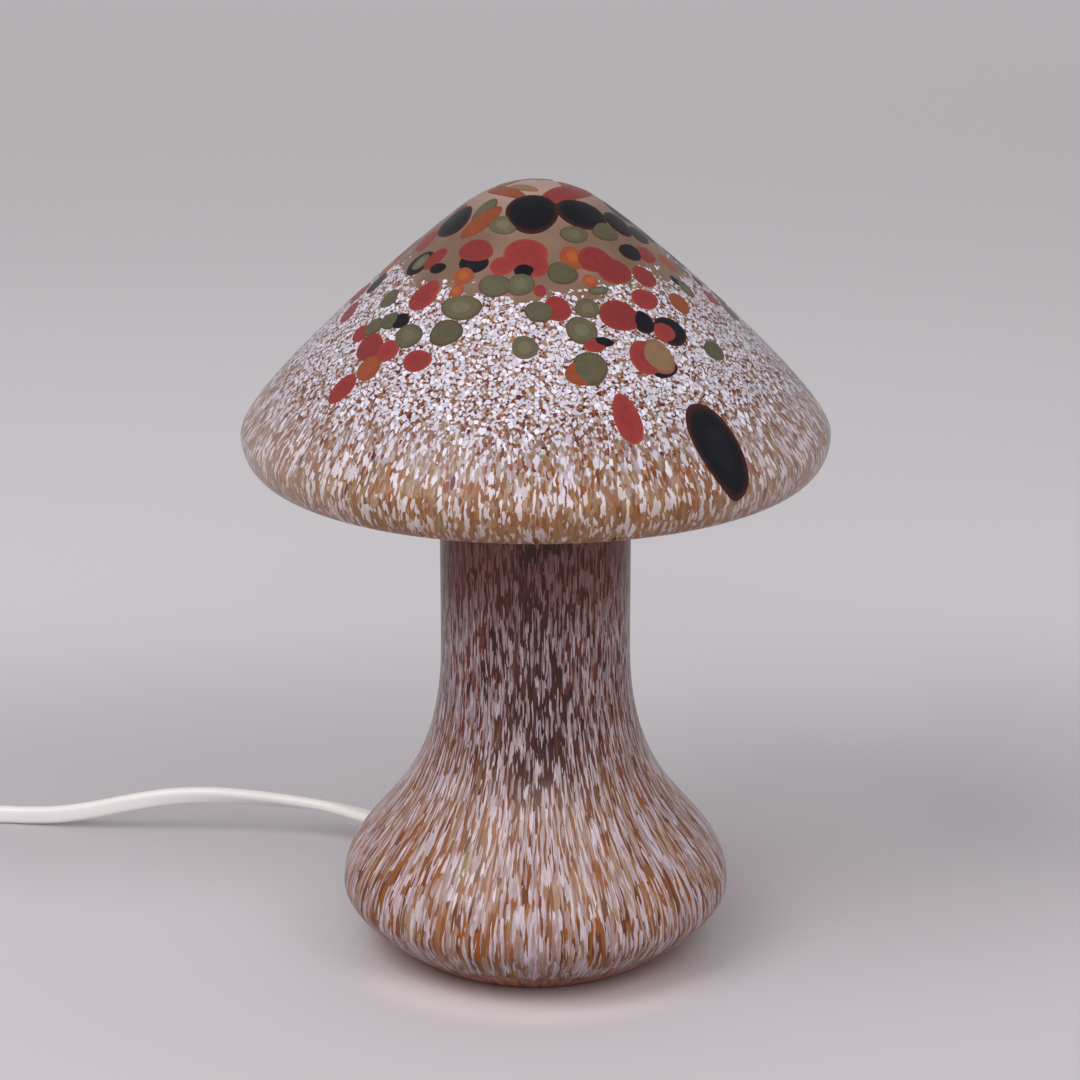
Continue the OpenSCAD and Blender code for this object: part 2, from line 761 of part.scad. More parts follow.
// A flat tie round all the turns, at the coil's far side, with its buckle and clipped end outside
module coil_tie() {
    tie_w = 7;
    buckle_t = 2.6;
    buckle_h = 5;
    buckle_rim = 0.8; // how far the buckle stands out beside the band
    end_t = 0.9;
    end_l = 3.5;
    low_r = coil_in - cord_t / 2 - 0.1;
    high_r = coil_out + cord_t / 2 + 0.1;
    color("black")
        translate([coil_x, coil_y, 0])
            rotate([0, 0, -90])
                translate([0, -tie_w / 2, 0]) {
                    difference() {
                        translate([low_r - coil_foot, 0, 0])
                            cube([high_r - low_r + 2 * coil_foot, tie_w, coil_h + 2 * coil_foot]);
                        translate([low_r - 0.5, -1, coil_foot])
                            cube([high_r - low_r + 0.5, tie_w + 2, coil_h]);
                    }
                    translate([high_r + coil_foot / 2, -buckle_rim, (coil_h - buckle_h) / 2])
                        cube([buckle_t, tie_w + 2 * buckle_rim, buckle_h]);
                    translate([high_r + coil_foot + buckle_t / 2 - end_t / 2, 1, coil_h / 2])
                        cube([end_t, tie_w - 2, buckle_h / 2 + end_l]);
                }
}

// ---------------------------------------------------------------- inline switch

switch_end_w = 12;
switch_end_h = 12.5;
axle_z = switch_h - 2.8;
axle_r = 1.2;
rocker_play = 0.5;
rocker_r = 26; // radius of the rocker's dished top

// Half of the switch's width, or its top, at the share s of its half length
function swell(low, high, s) = low + (high - low) * (1 - abs(s)^2.6);
function switch_plan(w) = concat(
    [for (i = [-12:12]) [swell(switch_end_w, switch_w, i / 12) / 2 - w, (switch_l / 2 - w) * i / 12]],
    [for (i = [12:-1:-12]) [-swell(switch_end_w, switch_w, i / 12) / 2 + w, (switch_l / 2 - w) * i / 12]]
);
function switch_side(w) = concat(
    [[switch_l / 2 + 1, -1], [-switch_l / 2 - 1, -1]],
    [for (i = [-12:12]) [switch_l / 2 * i / 12, swell(switch_end_h, switch_h, i / 12) - w]]
);
module at_switch() {
    translate([switch_x, switch_y, 0])
        children();
}
// The switch's outer shape, w inside its walls
module switch_form(w) {
    intersection() {
        translate([0, 0, w])
            linear_extrude(height = switch_h + 1)
                polygon(switch_plan(w));
        rotate([90, 0, 90])
            linear_extrude(height = switch_w + 2, center = true)
                polygon(switch_side(w));
    }
}
module switch_cut() {
    switch_form(switch_wall);
    // The two mouths for the cord
    rotate([90, 0, 0])
        translate([0, cord_z, 0])
            linear_extrude(height = switch_l + 4, center = true)
                rotate([0, 0, 90])
                    cord_section(cord_gap);
}
screw_places = [[7, 15], [-7, -15]];
boss_r = 2.6;

module switch_base() {
    color("white")
        at_switch()
            difference() {
                union() {
                    difference() {
                        switch_form(0);
                        switch_cut();
                        translate([-switch_w, -switch_l, seam_z])
                            cube([2 * switch_w, 2 * switch_l, switch_h]);
                    }
                    intersection() {
                        for (p = screw_places)
                            translate([p[0], p[1], 0])
                                cylinder(r = boss_r, h = seam_z, $fn = 32);
                        switch_form(0.4);
                    }
                }
                for (p = screw_places) {
                    translate([p[0], p[1], -1])
                        cylinder(r = 1.3, h = seam_z + 2, $fn = 32);
                    translate([p[0], p[1], -1])
                        cylinder(r = 2.1, h = 2.6, $fn = 32);
                }
            }
}

module switch_cover() {
    color("white")
        at_switch()
            difference() {
                union() {
                    difference() {
                        switch_form(0);
                        switch_cut();
                        translate([-switch_w, -switch_l, -1])
                            cube([2 * switch_w, 2 * switch_l, seam_z + 1]);
                    }
                    intersection() {
                        for (p = screw_places)
                            translate([p[0], p[1], seam_z])
                                cylinder(r = boss_r, h = switch_h, $fn = 32);
                        switch_form(0.4);
                    }
                    // Two cheeks that carry the rocker's axle
                    intersection() {
                        for (side = [-1, 1])
                            translate([side * (rocker_w / 2 + rocker_play + 0.8), 0, axle_z])
                                cube([1.6, 7, 2 * (axle_z - seam_z) - 3], center = true);
                        switch_form(0.4);
                    }
                }
                for (p = screw_places)
                    translate([p[0], p[1], seam_z - 1])
                        cylinder(r = 1.1, h = 5.5, $fn = 32);
                translate([-rocker_w / 2 - rocker_play, -rocker_l / 2 - rocker_play, seam_z])
                    cube([rocker_w + 2 * rocker_play, rocker_l + 2 * rocker_play, switch_h]);
                translate([0, 0, axle_z])
                    rotate([0, 90, 0])
                        cylinder(r = axle_r + slide_gap, h = rocker_w + 2 * rocker_play + 2.4,
                                 center = true, $fn = 32);
            }
}

// The rocker, at rest in its off position
module switch_rocker() {
    color("white")
        at_switch()
            translate([0, 0, axle_z])
                rotate([rocker_swing / 2, 0, 0])
                    difference() {
                        rotate([90, 0, 90])
                            linear_extrude(height = rocker_w, center = true)
                                difference() {
                                    union() {
                                        translate([-rocker_l / 2 + 0.4, -1.2])
                                            square([rocker_l - 0.8, 5]);
                                        circle(r = 3.2, $fn = 48);
                                        translate([-1.2, -5.2])
                                            square([2.4, 4]);
                                    }
                                    translate([0, rocker_r + 2.4])
                                        circle(r = rocker_r);
                                }
                        rotate([0, 90, 0])
                            cylinder(r = axle_r + slide_gap, h = rocker_w + 2, center = true, $fn = 32);
                    }
}

module rocker_axle() {
    color("silver")
        at_switch()
            translate([0, 0, axle_z])
                rotate([0, 90, 0])
                    cylinder(r = axle_r, h = rocker_w + 2 * rocker_play + 2.2, center = true, $fn = 32);
}

// Two fixed contact strips on the floor of the switch
module switch_contacts() {
    color("gold")
        at_switch()
            for (side = [-1, 1])
                translate([0, side * 7.5, switch_wall])
                    difference() {
                        union() {
                            translate([-3, -5, 0])
                                cube([6, 10, 0.8]);
                            translate([-3, -side * 4.4 - 0.4, 0])
                                cube([6, 0.8, 3.4]);
                        }
                        translate([0, side * 2.4, -1])
                            cylinder(r = 1, h = 3, $fn = 24);
                    }
}

// A bar over the cord at each mouth
module switch_clamps() {
    color("white")
        at_switch()
            for (side = [-1, 1])
                translate([0, side * (switch_mouth - 5), 0])
                    difference() {
                        translate([-5, -2, switch_wall])
                            cube([10, 4, cord_z - switch_wall + cord_t / 2 + 1.6]);
                        rotate([90, 0, 0])
                            translate([0, cord_z, 0])
                                linear_extrude(height = 6, center = true)
                                    rotate([0, 0, 90])
                                        cord_section(cord_gap);
                    }
}

module switch_screws() {
    color("silver")
        at_switch()
            for (p = screw_places)
                translate([p[0], p[1], 0.4])
                    difference() {
                        union() {
                            cylinder(r = 2, h = 1.2, $fn = 32);
                            cylinder(r = 1, h = seam_z + 2, $fn = 32);
                        }
                        translate([-3, -0.3, -0.1])
                            cube([6, 0.6, 0.6]);
                    }
}

// ---------------------------------------------------------------- plug

pin_lean = 1.66; // the pins lean in towards their tips
pin_core_r = 1.4; // of the part inside the body and the sleeve
pin_root = 7.5; // depth of a pin in the body
sleeve_r = 1.8;
sleeve_h = 10;
groove_count = 4; // finger grooves across each broad face
groove_w = 1.2;
groove_depth = 0.5;
groove_step = 2.6;

// +Z is the way the pins point
module at_plug() {
    translate([plug_x, plug_y, plug_z])
        rotate([-90, 0, 0])
            children();
}
// The body's outline: a broad face, a waist for the fingers and a neck into the strain relief
plug_outline = concat(
    [[plug_w / 2 - 1.5, plug_l], [plug_w / 2, plug_l - 1.5]],
    bezier([[plug_w / 2, plug_l - 1.5], [plug_w / 2 - 1, plug_l * 0.6],
            [plug_w / 2 - 6.5, plug_l * 0.5], [plug_w / 2 - 7, plug_l * 0.22]], 10),
    bezier([[plug_w / 2 - 7, plug_l * 0.22], [plug_w / 2 - 7.4, 2], [7.5, 0.6], [5.2, 0]], 6)
);

module finger_grooves() {
    for (side = [-1, 1], i = [0:groove_count - 1])
        translate([0, side * plug_t / 2, relief_l + 0.42 * plug_l + i * groove_step])
            cube([plug_w, 2 * groove_depth, groove_w], center = true);
}

module plug_body() {
    color("white")
        difference() {
            at_plug()
                union() {
                    intersection() {
                        translate([0, 0, relief_l])
                            rotate([90, 0, 0])
                                linear_extrude(height = plug_t, center = true)
                                    polygon(concat(plug_outline,
                                        [for (p = reversed(plug_outline)) [-p[0], p[1]]]));
                        translate([0, 0, relief_l])
                            rotate([90, 0, 90])
                                linear_extrude(height = plug_w + 2, center = true)
                                    polygon([[-plug_t / 2, plug_l], [-plug_t / 2, plug_l * 0.35], [-4.8, -0.1],
                                             [4.8, -0.1], [plug_t / 2, plug_l * 0.35], [plug_t / 2, plug_l]]);
                    }
                    // The strain relief, a cone with rings
                    rotate_extrude($fn = 48)
                        polygon(concat([[0, 0], [4.2, 0]],
                            [for (i = [0:5], edge = [[0, 0], [0, 1], [-0.5, 1.3], [-0.5, 2.4]])
                                let (y = 1.2 + i * 3.6 + edge[1])
                                [4.4 + y * 0.045 + edge[0] + 0.2, y]],
                            [[5, relief_l - 2], [5, relief_l + 2], [0, relief_l + 2]]));
                }
            at_plug()
                finger_grooves();
            at_plug()
                translate([0, 0, -1])
                    linear_extrude(height = relief_l - 3)
                        rotate([0, 0, 90])
                            cord_section(cord_gap);
            at_plug()
                for (side = [-1, 1])
                    translate([side * pin_gap / 2, 0, relief_l + plug_l])
                        rotate([0, -side * pin_lean, 0])
                            translate([0, 0, -pin_root - 0.5])
                                cylinder(r = pin_core_r + slide_gap, h = pin_root + 2, $fn = 32);
        }
}

module at_pins() {
    at_plug()
        for (side = [-1, 1])
            translate([side * pin_gap / 2, 0, relief_l + plug_l])
                rotate([0, -side * pin_lean, 0])
                    children();
}

module plug_pins() {
    color("silver")
        at_pins()
            rotate_extrude($fn = 48)
                polygon([
                    [0, -pin_root], [pin_core_r, -pin_root], [pin_core_r, sleeve_h + 0.1],
                    [pin_d / 2, sleeve_h + 0.1], [pin_d / 2, pin_l - 1.2], [pin_d / 2 - 0.5, pin_l - 0.3],
                    [pin_d / 2 - 1.2, pin_l], [0, pin_l]
                ]);
}

module pin_sleeves() {
    color("white")
        at_pins()
            translate([0, 0, 0.2])
                difference() {
                    cylinder(r = sleeve_r, h = sleeve_h - 0.2, $fn = 48);
                    translate([0, 0, -1])
                        cylinder(r = pin_core_r + slide_gap, h = sleeve_h + 2, $fn = 48);
                }
}

// ---------------------------------------------------------------- the nodes

shade();
stem();
seat_gasket();
carrier_plate();
neck_springs();
spring_rivets();
holder_skirt();
holder_ring();
holder_body();
contact_block();
screw_shell();
centre_contact();
terminal_screws();
cord_grip();
grip_screw();
bulb_globe();
bulb_cap();
bulb_insulator();
bulb_contact();
bulb_mount();
bulb_filament();
cord_grommet();
inner_cord();
core_wires();
cord_lead();
cord_tail();
cord_coil();
cord_end();
coil_tie();
switch_base();
switch_cover();
switch_rocker();
rocker_axle();
switch_contacts();
switch_clamps();
switch_screws();
plug_body();
plug_pins();
pin_sleeves();
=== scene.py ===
"""The looks of a blown-glass mushroom lamp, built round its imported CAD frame.

The glass shade and stem are smooth revolved meshes with melted-in grains, streaks and discs. The
flat mains cord runs from the foot through its inline switch into a tied coil and ends in its plug.
Lengths are millimetres until a mesh is made, which is in metres.
"""

import json
import math
import random
from bisect import bisect_right

import bpy
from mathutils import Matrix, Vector


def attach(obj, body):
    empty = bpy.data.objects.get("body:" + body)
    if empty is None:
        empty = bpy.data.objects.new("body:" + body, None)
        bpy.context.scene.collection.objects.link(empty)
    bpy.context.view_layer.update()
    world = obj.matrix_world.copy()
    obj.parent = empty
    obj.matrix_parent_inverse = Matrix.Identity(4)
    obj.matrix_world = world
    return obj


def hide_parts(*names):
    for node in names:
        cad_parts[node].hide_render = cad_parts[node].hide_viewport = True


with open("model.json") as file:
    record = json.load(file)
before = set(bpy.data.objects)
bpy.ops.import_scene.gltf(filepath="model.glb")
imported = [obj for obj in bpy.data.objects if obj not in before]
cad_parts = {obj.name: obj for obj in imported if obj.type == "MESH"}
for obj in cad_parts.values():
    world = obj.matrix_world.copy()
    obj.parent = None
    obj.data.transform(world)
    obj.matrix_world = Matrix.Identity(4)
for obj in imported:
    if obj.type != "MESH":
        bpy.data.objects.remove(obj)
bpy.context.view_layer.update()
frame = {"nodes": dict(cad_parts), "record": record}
nodes = frame["nodes"]

MM = 0.001


# ---- camera

FOCAL_LENGTH = 110.0  # on a sensor 36 mm wide
CAMERA_DISTANCE = 1120.0
CAMERA_ELEVATION = 17.6
CAMERA_REACH = 20.0  # metres
AIM = Vector((1.55, 0.0, 146.7))  # where the camera looks


def make_camera():
    elevation = math.radians(CAMERA_ELEVATION)
    data = bpy.data.cameras.new("camera")
    data.lens = FOCAL_LENGTH
    data.clip_end = CAMERA_REACH
    camera = bpy.data.objects.new("camera", data)
    back = Vector((0.0, -math.cos(elevation), math.sin(elevation)))
    camera.location = (AIM + CAMERA_DISTANCE * back) * MM
    camera.rotation_euler = (math.pi / 2 - elevation, 0.0, 0.0)
    bpy.context.scene.collection.objects.link(camera)
    bpy.context.scene.camera = camera


make_camera()


# ---- small helpers


def lerp(a, b, t):
    return a + (b - a) * t


def smooth(t):
    t = min(max(t, 0.0), 1.0)
    return t * t * (3 - 2 * t)


def bezier(p0, p1, p2, p3, count):
    """The curve's points after its first."""
    points = []
    for i in range(1, count + 1):
        t = i / count
        u = 1 - t
        points.append(
            tuple(
                u**3 * a + 3 * u * u * t * b + 3 * u * t * t * c + t**3 * d
                for a, b, c, d in zip(p0, p1, p2, p3)
            )
        )
    return points


def make_mesh(name, vertices, faces, material, body):
    """A smooth-shaded piece on a CAD body, from points in millimetres."""
    mesh = bpy.data.meshes.new(name)
    mesh.from_pydata([(x * MM, y * MM, z * MM) for x, y, z in vertices], [], faces)
    mesh.update()
    for polygon in mesh.polygons:
        polygon.use_smooth = True
    mesh.materials.append(material)
    piece = bpy.data.objects.new(name, mesh)
    bpy.context.scene.collection.objects.link(piece)
    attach(piece, body)
    return piece


def set_attribute(piece, name, values):
    """A number or a vector for each vertex."""
    kind = "FLOAT_VECTOR" if hasattr(values[0], "__len__") else "FLOAT"
    layer = piece.data.attributes.new(name, kind, "POINT")
    if kind == "FLOAT":
        layer.data.foreach_set("value", values)
    else:
        layer.data.foreach_set("vector", [c for v in values for c in v])


# ---- materials


def srgb(r, g, b):
    """A colour given in 0 to 255 as it looks, for a shader socket."""

    def linear(c):
        c /= 255
        return c / 12.92 if c <= 0.04045 else ((c + 0.055) / 1.055) ** 2.4

    return (linear(r), linear(g), linear(b), 1.0)


class Shader:
    """A material. Each method adds a node and returns its output socket."""

    def __init__(self, name, roughness, **surface):
        self.material = bpy.data.materials.new(name)
        self.material.use_nodes = True
        self.tree = self.material.node_tree
        self.surface = self.tree.nodes["Principled BSDF"]
        self.set("Roughness", roughness)
        for socket, value in surface.items():
            self.set(socket.replace("_", " "), value)

    def set(self, socket, value):
        self.put(self.surface.inputs[socket], value)

    def put(self, socket, value):
        if isinstance(value, bpy.types.NodeSocket):
            self.tree.links.new(value, socket)
        else:
            socket.default_value = value

    def node(self, kind, inputs, output=0, **settings):
        made = self.tree.nodes.new(kind)
        for key, value in settings.items():
            setattr(made, key, value)
        for key, value in inputs.items():
            self.put(made.inputs[key], value)
        return made.outputs[output]

    def attribute(self, name, output="Fac"):
        return self.node("ShaderNodeAttribute", {}, output, attribute_name=name)

    def place(self):
        return self.node("ShaderNodeTexCoord", {}, "Object")

    def math(self, operation, a, b=0.0):
        return self.node("ShaderNodeMath", {0: a, 1: b}, operation=operation)

    def vector(self, operation, a, b):
        return self.node("ShaderNodeVectorMath", {0: a, 1: b}, operation=operation)

    def scaled(self, vector, factor):
        return self.node("ShaderNodeVectorMath", {0: vector, "Scale": factor}, operation="SCALE")

    def span(self, value, low, high, to_low=0.0, to_high=1.0, kind="SMOOTHSTEP"):
        inputs = {
            "Value": value,
            "From Min": low,
            "From Max": high,
            "To Min": to_low,
            "To Max": to_high,
        }
        return self.node("ShaderNodeMapRange", inputs, interpolation_type=kind)

    def mix(self, share, a, b):
        return self.node("ShaderNodeMix", {0: share, 6: a, 7: b}, 2, data_type="RGBA")

    def adjust(self, colour, value, saturation=1.0):
        inputs = {"Color": colour, "Saturation": saturation, "Value": value}
        return self.node("ShaderNodeHueSaturation", inputs)

    def steps(self, value, *stops):
        """A colour for each part of the values: where the part begins, and red, green and blue."""
        made = self.tree.nodes.new("ShaderNodeValToRGB")
        made.color_ramp.interpolation = "CONSTANT"
        elements = made.color_ramp.elements
        while len(elements) < len(stops):
            elements.new(0.5)
        for element, (start, *colour) in zip(elements, stops):
            element.position = start
            element.color = srgb(*colour)
        self.put(made.inputs["Fac"], value)
        return made.outputs["Color"]

    def noise(self, vector, scale, detail=2.0, output="Fac"):
        inputs = {"Vector": vector, "Scale": scale, "Detail": detail}
        return self.node("ShaderNodeTexNoise", inputs, output)

    def wander(self, vector, scale, detail, low, high, kind="SMOOTHSTEP"):
        """Noise that wanders from one value to another."""
        return self.span(self.noise(vector, scale, detail), 0.3, 0.7, low, high, kind)

    def cells(self, vector, scale, feature="F1", output="Color"):
        inputs = {"Vector": vector, "Scale": scale}
        return self.node("ShaderNodeTexVoronoi", inputs, output, feature=feature)

    def channels(self, colour):
        made = self.tree.nodes.new("ShaderNodeSeparateColor")
        self.put(made.inputs[0], colour)
        return made.outputs

    def bump(self, height, strength, distance, normal=None):
        inputs = {"Height": height, "Strength": strength, "Distance": distance}
        if normal is not None:
            inputs["Normal"] = normal
        return self.node("ShaderNodeBump", inputs, "Normal")


GLASS = {"Coat_Weight": 0.3, "Coat_Roughness": 0.14, "IOR": 1.5, "Specular_IOR_Level": 0.08}
GLASS_ROUGHNESS = 0.4
GRAIN_RELIEF = 0.0003  # metres, like the next two
WAVE_RELIEF = 0.002
STEM_WAVE_RELIEF = 0.0015

# A layer of grains: their size, how far they are bent, and how far the layer is shifted
SMALL_GRAINS = (0.8, 1.1, 0.0)
WHITE_GRAINS = (1.68, 1.3, 0.0)
DARK_STREAKS = (0.95, 0.75, 0.0)
WHITE_STREAKS = ((0.74, 0.6, 0.0), (0.5, 0.42, 40.0))
GRAIN_BENDS = 0.8  # bends in a grain's size
GRAIN_CORNER = 0.7  # how far a grain reaches into its corners, which rounds them
GRAIN_GAPS = (-0.02, 0.18)  # half the least and the greatest gap between white grains

# Runs along the shade from its top, over which its look changes
PAINTED_TOP_LIGHT_RUNS = (8.0, 34.0)  # painted light, from the paler top to brown
SOWN_RUNS = (49.0, 63.0)  # from bare glass to full frit
WHITE_RUNS = (84.0, 128.0)  # from mostly white grains to few
WHITE_SHARES = (0.84, 0.19)
TINTED_SHARE = 0.07  # large grains of other colours, all over
RIM_RUNS = (100.0, 134.0)  # from round small grains to drawn ones
WARM_RUNS = (108.0, 140.0)  # from white large grains to tan
EDGE_RUNS = (124.0, 146.0)  # from clear small grains to blurred
UNEVEN_RUN = 8.0  # how far the frit's upper border strays
PAINTED_LIGHT_SIDES = (0.045, 0.092)  # metres from the lamp's middle to the rim's sides, which are painted paler

# Heights on the stem, over which its look changes
WARM_HEIGHTS = (104.0, 52.0)  # from the dark neck to the warm belly
RED_HEIGHTS = (112.0, 148.0)  # from the neck to its redder top
PAINTED_SHADE_HEIGHTS = (3.0, 42.0)  # painted shade, from the darkened foot to the belly
DEEP_HEIGHTS = (8.0, 50.0)  # painted shade, from deeper colours to plain
GROUND_HEIGHTS = (9.4, 10.2)  # from the ground foot to the frit
UNEVEN_HEIGHT = 2.4  # how far that border strays
STREAK_SHARES = (0.45, 0.35)  # white streaks of a layer, in the neck and in the belly
STREAK_GAPS = 0.86  # streaks with a greater random number are gaps down to the glass


def grains(shader, coords, size, bend, shift):
    """A layer of melted-looking grains.

    Gives three random numbers for each grain, and how far a point is from its grain's edge.
    """
    if shift:
        coords = shader.vector("ADD", coords, (shift, shift, shift))
    bent = shader.noise(coords, GRAIN_BENDS / size, 2.5, "Color")
    bent = shader.vector("SUBTRACT", bent, (0.5, 0.5, 0.5))
    bent = shader.vector("ADD", coords, shader.scaled(bent, bend))
    edge = shader.cells(bent, 1 / size, "DISTANCE_TO_EDGE", "Distance")
    middle = shader.cells(bent, 1 / size, output="Distance")
    edge = shader.math("MINIMUM", edge, shader.math("SUBTRACT", GRAIN_CORNER, middle))
    return *shader.channels(shader.cells(bent, 1 / size))[:3], edge


def shade_glass():
    """White frit over brown glass.

    The grains are round on the flank and drawn out at the rim. The top is bare glass.
    """
    s = Shader("shade_glass", GLASS_ROUGHNESS, **GLASS)
    coords = s.attribute("grain", "Vector")
    run = s.attribute("run")
    rim = s.span(run, *RIM_RUNS)

    # Small grains show between the large white ones, and more of them towards the rim
    _, kind, speck, small_edge = grains(s, coords, *SMALL_GRAINS)
    flank = s.steps(
        kind,
        (0.0, 84, 40, 34), (0.1, 132, 100, 80), (0.22, 192, 186, 200), (0.5, 148, 126, 118),
        (0.63, 122, 76, 50), (0.78, 134, 122, 96), (0.84, 178, 168, 182), (0.9, 108, 52, 38),
        (0.96, 66, 34, 34),
    )
    drawn = s.steps(
        kind,
        (0.0, 196, 184, 190), (0.14, 134, 98, 72), (0.34, 202, 192, 200), (0.45, 116, 76, 50),
        (0.63, 132, 76, 36), (0.75, 152, 124, 106), (0.87, 108, 58, 32), (0.95, 138, 104, 52),
    )
    under = s.mix(rim, flank, drawn)
    under = s.mix(s.span(run, *EDGE_RUNS, 0.0, 0.6), under, srgb(134, 99, 72))

    pick, tone, other, edge = grains(s, coords, *WHITE_GRAINS)
    border = s.wander(coords, 0.6, 3.0, *GRAIN_GAPS)
    chip = s.span(s.math("SUBTRACT", edge, border), 0.0, 0.06)
    white = s.mix(tone, srgb(176, 170, 183), srgb(221, 220, 234))
    white = s.mix(s.span(run, *WARM_RUNS, 0.0, 0.72), white, srgb(173, 148, 136))
    tint = s.steps(
        tone,
        (0.0, 146, 118, 98), (0.2, 142, 84, 44), (0.36, 124, 112, 82), (0.46, 116, 54, 40),
        (0.74, 82, 34, 32), (0.9, 150, 98, 50),
    )
    drift = s.wander(coords, 0.045, 2.0, -0.07, 0.07)
    share = s.math("ADD", s.span(run, *WHITE_RUNS, *WHITE_SHARES), drift)
    chips = s.mix(s.math("LESS_THAN", pick, share), tint, white)
    share = s.math("ADD", share, TINTED_SHARE)
    chip = s.math("MULTIPLY", chip, s.math("LESS_THAN", pick, share))

    # The frit ends below the crown: its grains thin out over the bare glass
    cloud = s.wander(coords, 0.06, 2.0, 0.0, 1.0)
    crown = s.mix(cloud, srgb(129, 102, 88), srgb(112, 86, 72))
    # Painted light: the crown is painted paler towards its top, which faces the lamps
    crown = s.mix(s.span(run, *PAINTED_TOP_LIGHT_RUNS, 0.85, 0.0), crown, srgb(168, 138, 128))
    stray = s.noise(coords, 0.1, 2.0)
    uneven = s.span(stray, 0.25, 0.75, -UNEVEN_RUN, UNEVEN_RUN, "LINEAR")
    sown = s.span(s.math("ADD", run, uneven), *SOWN_RUNS, 0.0, 1.02)
    chip = s.math("MULTIPLY", chip, s.math("LESS_THAN", other, sown))
    ground = s.mix(s.math("LESS_THAN", speck, s.span(sown, 0.4, 1.0)), crown, under)
    colour = s.mix(chip, ground, chips)

    # Painted light: the rim's two sides are painted paler, as light shines through the glass there
    aside = s.math("ABSOLUTE", s.node("ShaderNodeSeparateXYZ", {0: s.place()}))
    pale = s.math("MULTIPLY", rim, s.span(aside, *PAINTED_LIGHT_SIDES, 0.0, 0.2))
    s.set("Base Color", s.mix(pale, colour, srgb(212, 204, 204)))

    s.set("Normal", s.bump(s.math("ADD", chip, small_edge), 0.25, GRAIN_RELIEF))
    waves = s.noise(coords, 0.12, 1.0)
    s.set("Coat Normal", s.bump(waves, 0.25, WAVE_RELIEF, s.bump(chip, 0.05, GRAIN_RELIEF)))
    return s.material


def stem_glass():
    """Frit drawn into long streaks, over dark red glass in the neck and warm brown in the belly."""
    s = Shader("stem_glass", GLASS_ROUGHNESS, **GLASS)
    coords = s.attribute("grain", "Vector")
    height = s.attribute("height")
    dusk = s.attribute("dusk")
    belly = s.span(height, *WARM_HEIGHTS)
    top = s.span(height, *RED_HEIGHTS)

    _, kind, _, _ = grains(s, coords, *DARK_STREAKS)
    dark = s.steps(
        kind,
        (0.0, 84, 32, 24), (0.3, 108, 50, 38), (0.5, 58, 24, 20), (0.68, 126, 74, 58),
        (0.84, 112, 50, 30), (0.95, 92, 70, 48),
    )
    warm = s.steps(
        kind,
        (0.0, 134, 88, 64), (0.26, 150, 110, 84), (0.44, 108, 62, 42), (0.58, 160, 128, 108),
        (0.74, 142, 86, 48), (0.9, 122, 76, 56), (0.985, 126, 106, 50),
    )
    under = s.mix(belly, dark, warm)
    under = s.mix(s.math("MULTIPLY", top, 0.5), under, srgb(84, 30, 18))
    under = s.mix(s.math("MULTIPLY", dusk, 0.85), under, srgb(53, 32, 32))

    dull = (srgb(116, 93, 93), srgb(174, 157, 166))
    bright = (srgb(152, 122, 114), srgb(202, 187, 197))
    drift = s.wander(coords, 0.08, 2.0, -0.05, 0.05)
    share = s.math("ADD", s.span(belly, 0.0, 1.0, *STREAK_SHARES), drift)
    share = s.math("SUBTRACT", share, s.math("MULTIPLY", dusk, 0.23))
    colour = under
    for layer in WHITE_STREAKS:
        pick, tone, _, _ = grains(s, coords, *layer)
        white = s.mix(belly, s.mix(tone, *dull), s.mix(tone, *bright))
        white = s.mix(s.math("MULTIPLY", top, 0.72), white, srgb(108, 46, 30))
        colour = s.mix(s.math("GREATER_THAN", pick, STREAK_GAPS), colour, under)
        colour = s.mix(s.math("LESS_THAN", pick, share), colour, white)

    # Hair-fine lines run along the streaks
    hair = s.wander(coords, 2.6, 2.0, 0.84, 1.12)
    # Painted shade: the belly is darker and its colours deeper towards the floor
    value = s.math("MULTIPLY", hair, s.span(height, *PAINTED_SHADE_HEIGHTS, 0.57, 0.965))
    depth = s.span(height, *DEEP_HEIGHTS, 1.12, 1.0)
    colour = s.adjust(colour, value, depth)

    uneven = s.wander(coords, 0.8, 2.0, -UNEVEN_HEIGHT, UNEVEN_HEIGHT, "LINEAR")
    foot = s.span(s.math("ADD", height, uneven), *GROUND_HEIGHTS, 1.0, 0.0)
    cloud = s.wander(coords, 0.9, 2.0, 0.0, 1.0)
    ground = s.mix(cloud, srgb(92, 44, 30), srgb(158, 100, 74))
    s.set("Base Color", s.mix(foot, colour, ground))

    s.set("Normal", s.bump(hair, 0.2, GRAIN_RELIEF))
    waves = s.noise(coords, 0.15, 1.0)
    relief = s.bump(hair, 0.06, GRAIN_RELIEF)
    s.set("Coat Normal", s.bump(waves, 0.2, STEM_WAVE_RELIEF, relief))
    return s.material


def inner_glass():
    """The pale inside of the shade and stem."""
    s = Shader("inner_glass", 0.2, Coat_Weight=0.6, Coat_Roughness=0.1)
    clouds = s.noise(s.scaled(s.place(), 1 / MM), 0.35, 3.0)
    share = s.span(clouds, 0.35, 0.65)
    s.set("Base Color", s.mix(share, srgb(214, 202, 194), srgb(172, 140, 120)))
    s.set("Normal", s.bump(clouds, 0.15, 0.0005))
    return s.material


def spot_glass(name, edge, middle, heart):
    """A melted-in disc: its rim, its body and the paler or darker heart that some discs have."""
    s = Shader(name, GLASS_ROUGHNESS, **GLASS)
    reach = s.attribute("reach")
    tone = s.attribute("tone")
    coords = s.attribute("grain", "Vector")
    body = s.mix(s.span(reach, 0.72, 0.98), middle, edge)
    inner = s.math("MULTIPLY", s.span(reach, 0.4, 0.5, 1.0, 0.0), s.span(tone, 0.45, 0.75))
    body = s.mix(inner, body, heart)
    mottle = s.wander(coords, 0.35, 2.0, -0.06, 0.06)
    value = s.math("ADD", s.span(tone, 0.0, 1.0, 0.82, 1.12, "LINEAR"), mottle)
    s.set("Base Color", s.adjust(body, value))
    s.set("Coat Normal", s.bump(s.noise(coords, 0.12, 1.0), 0.2, WAVE_RELIEF))
    return s.material


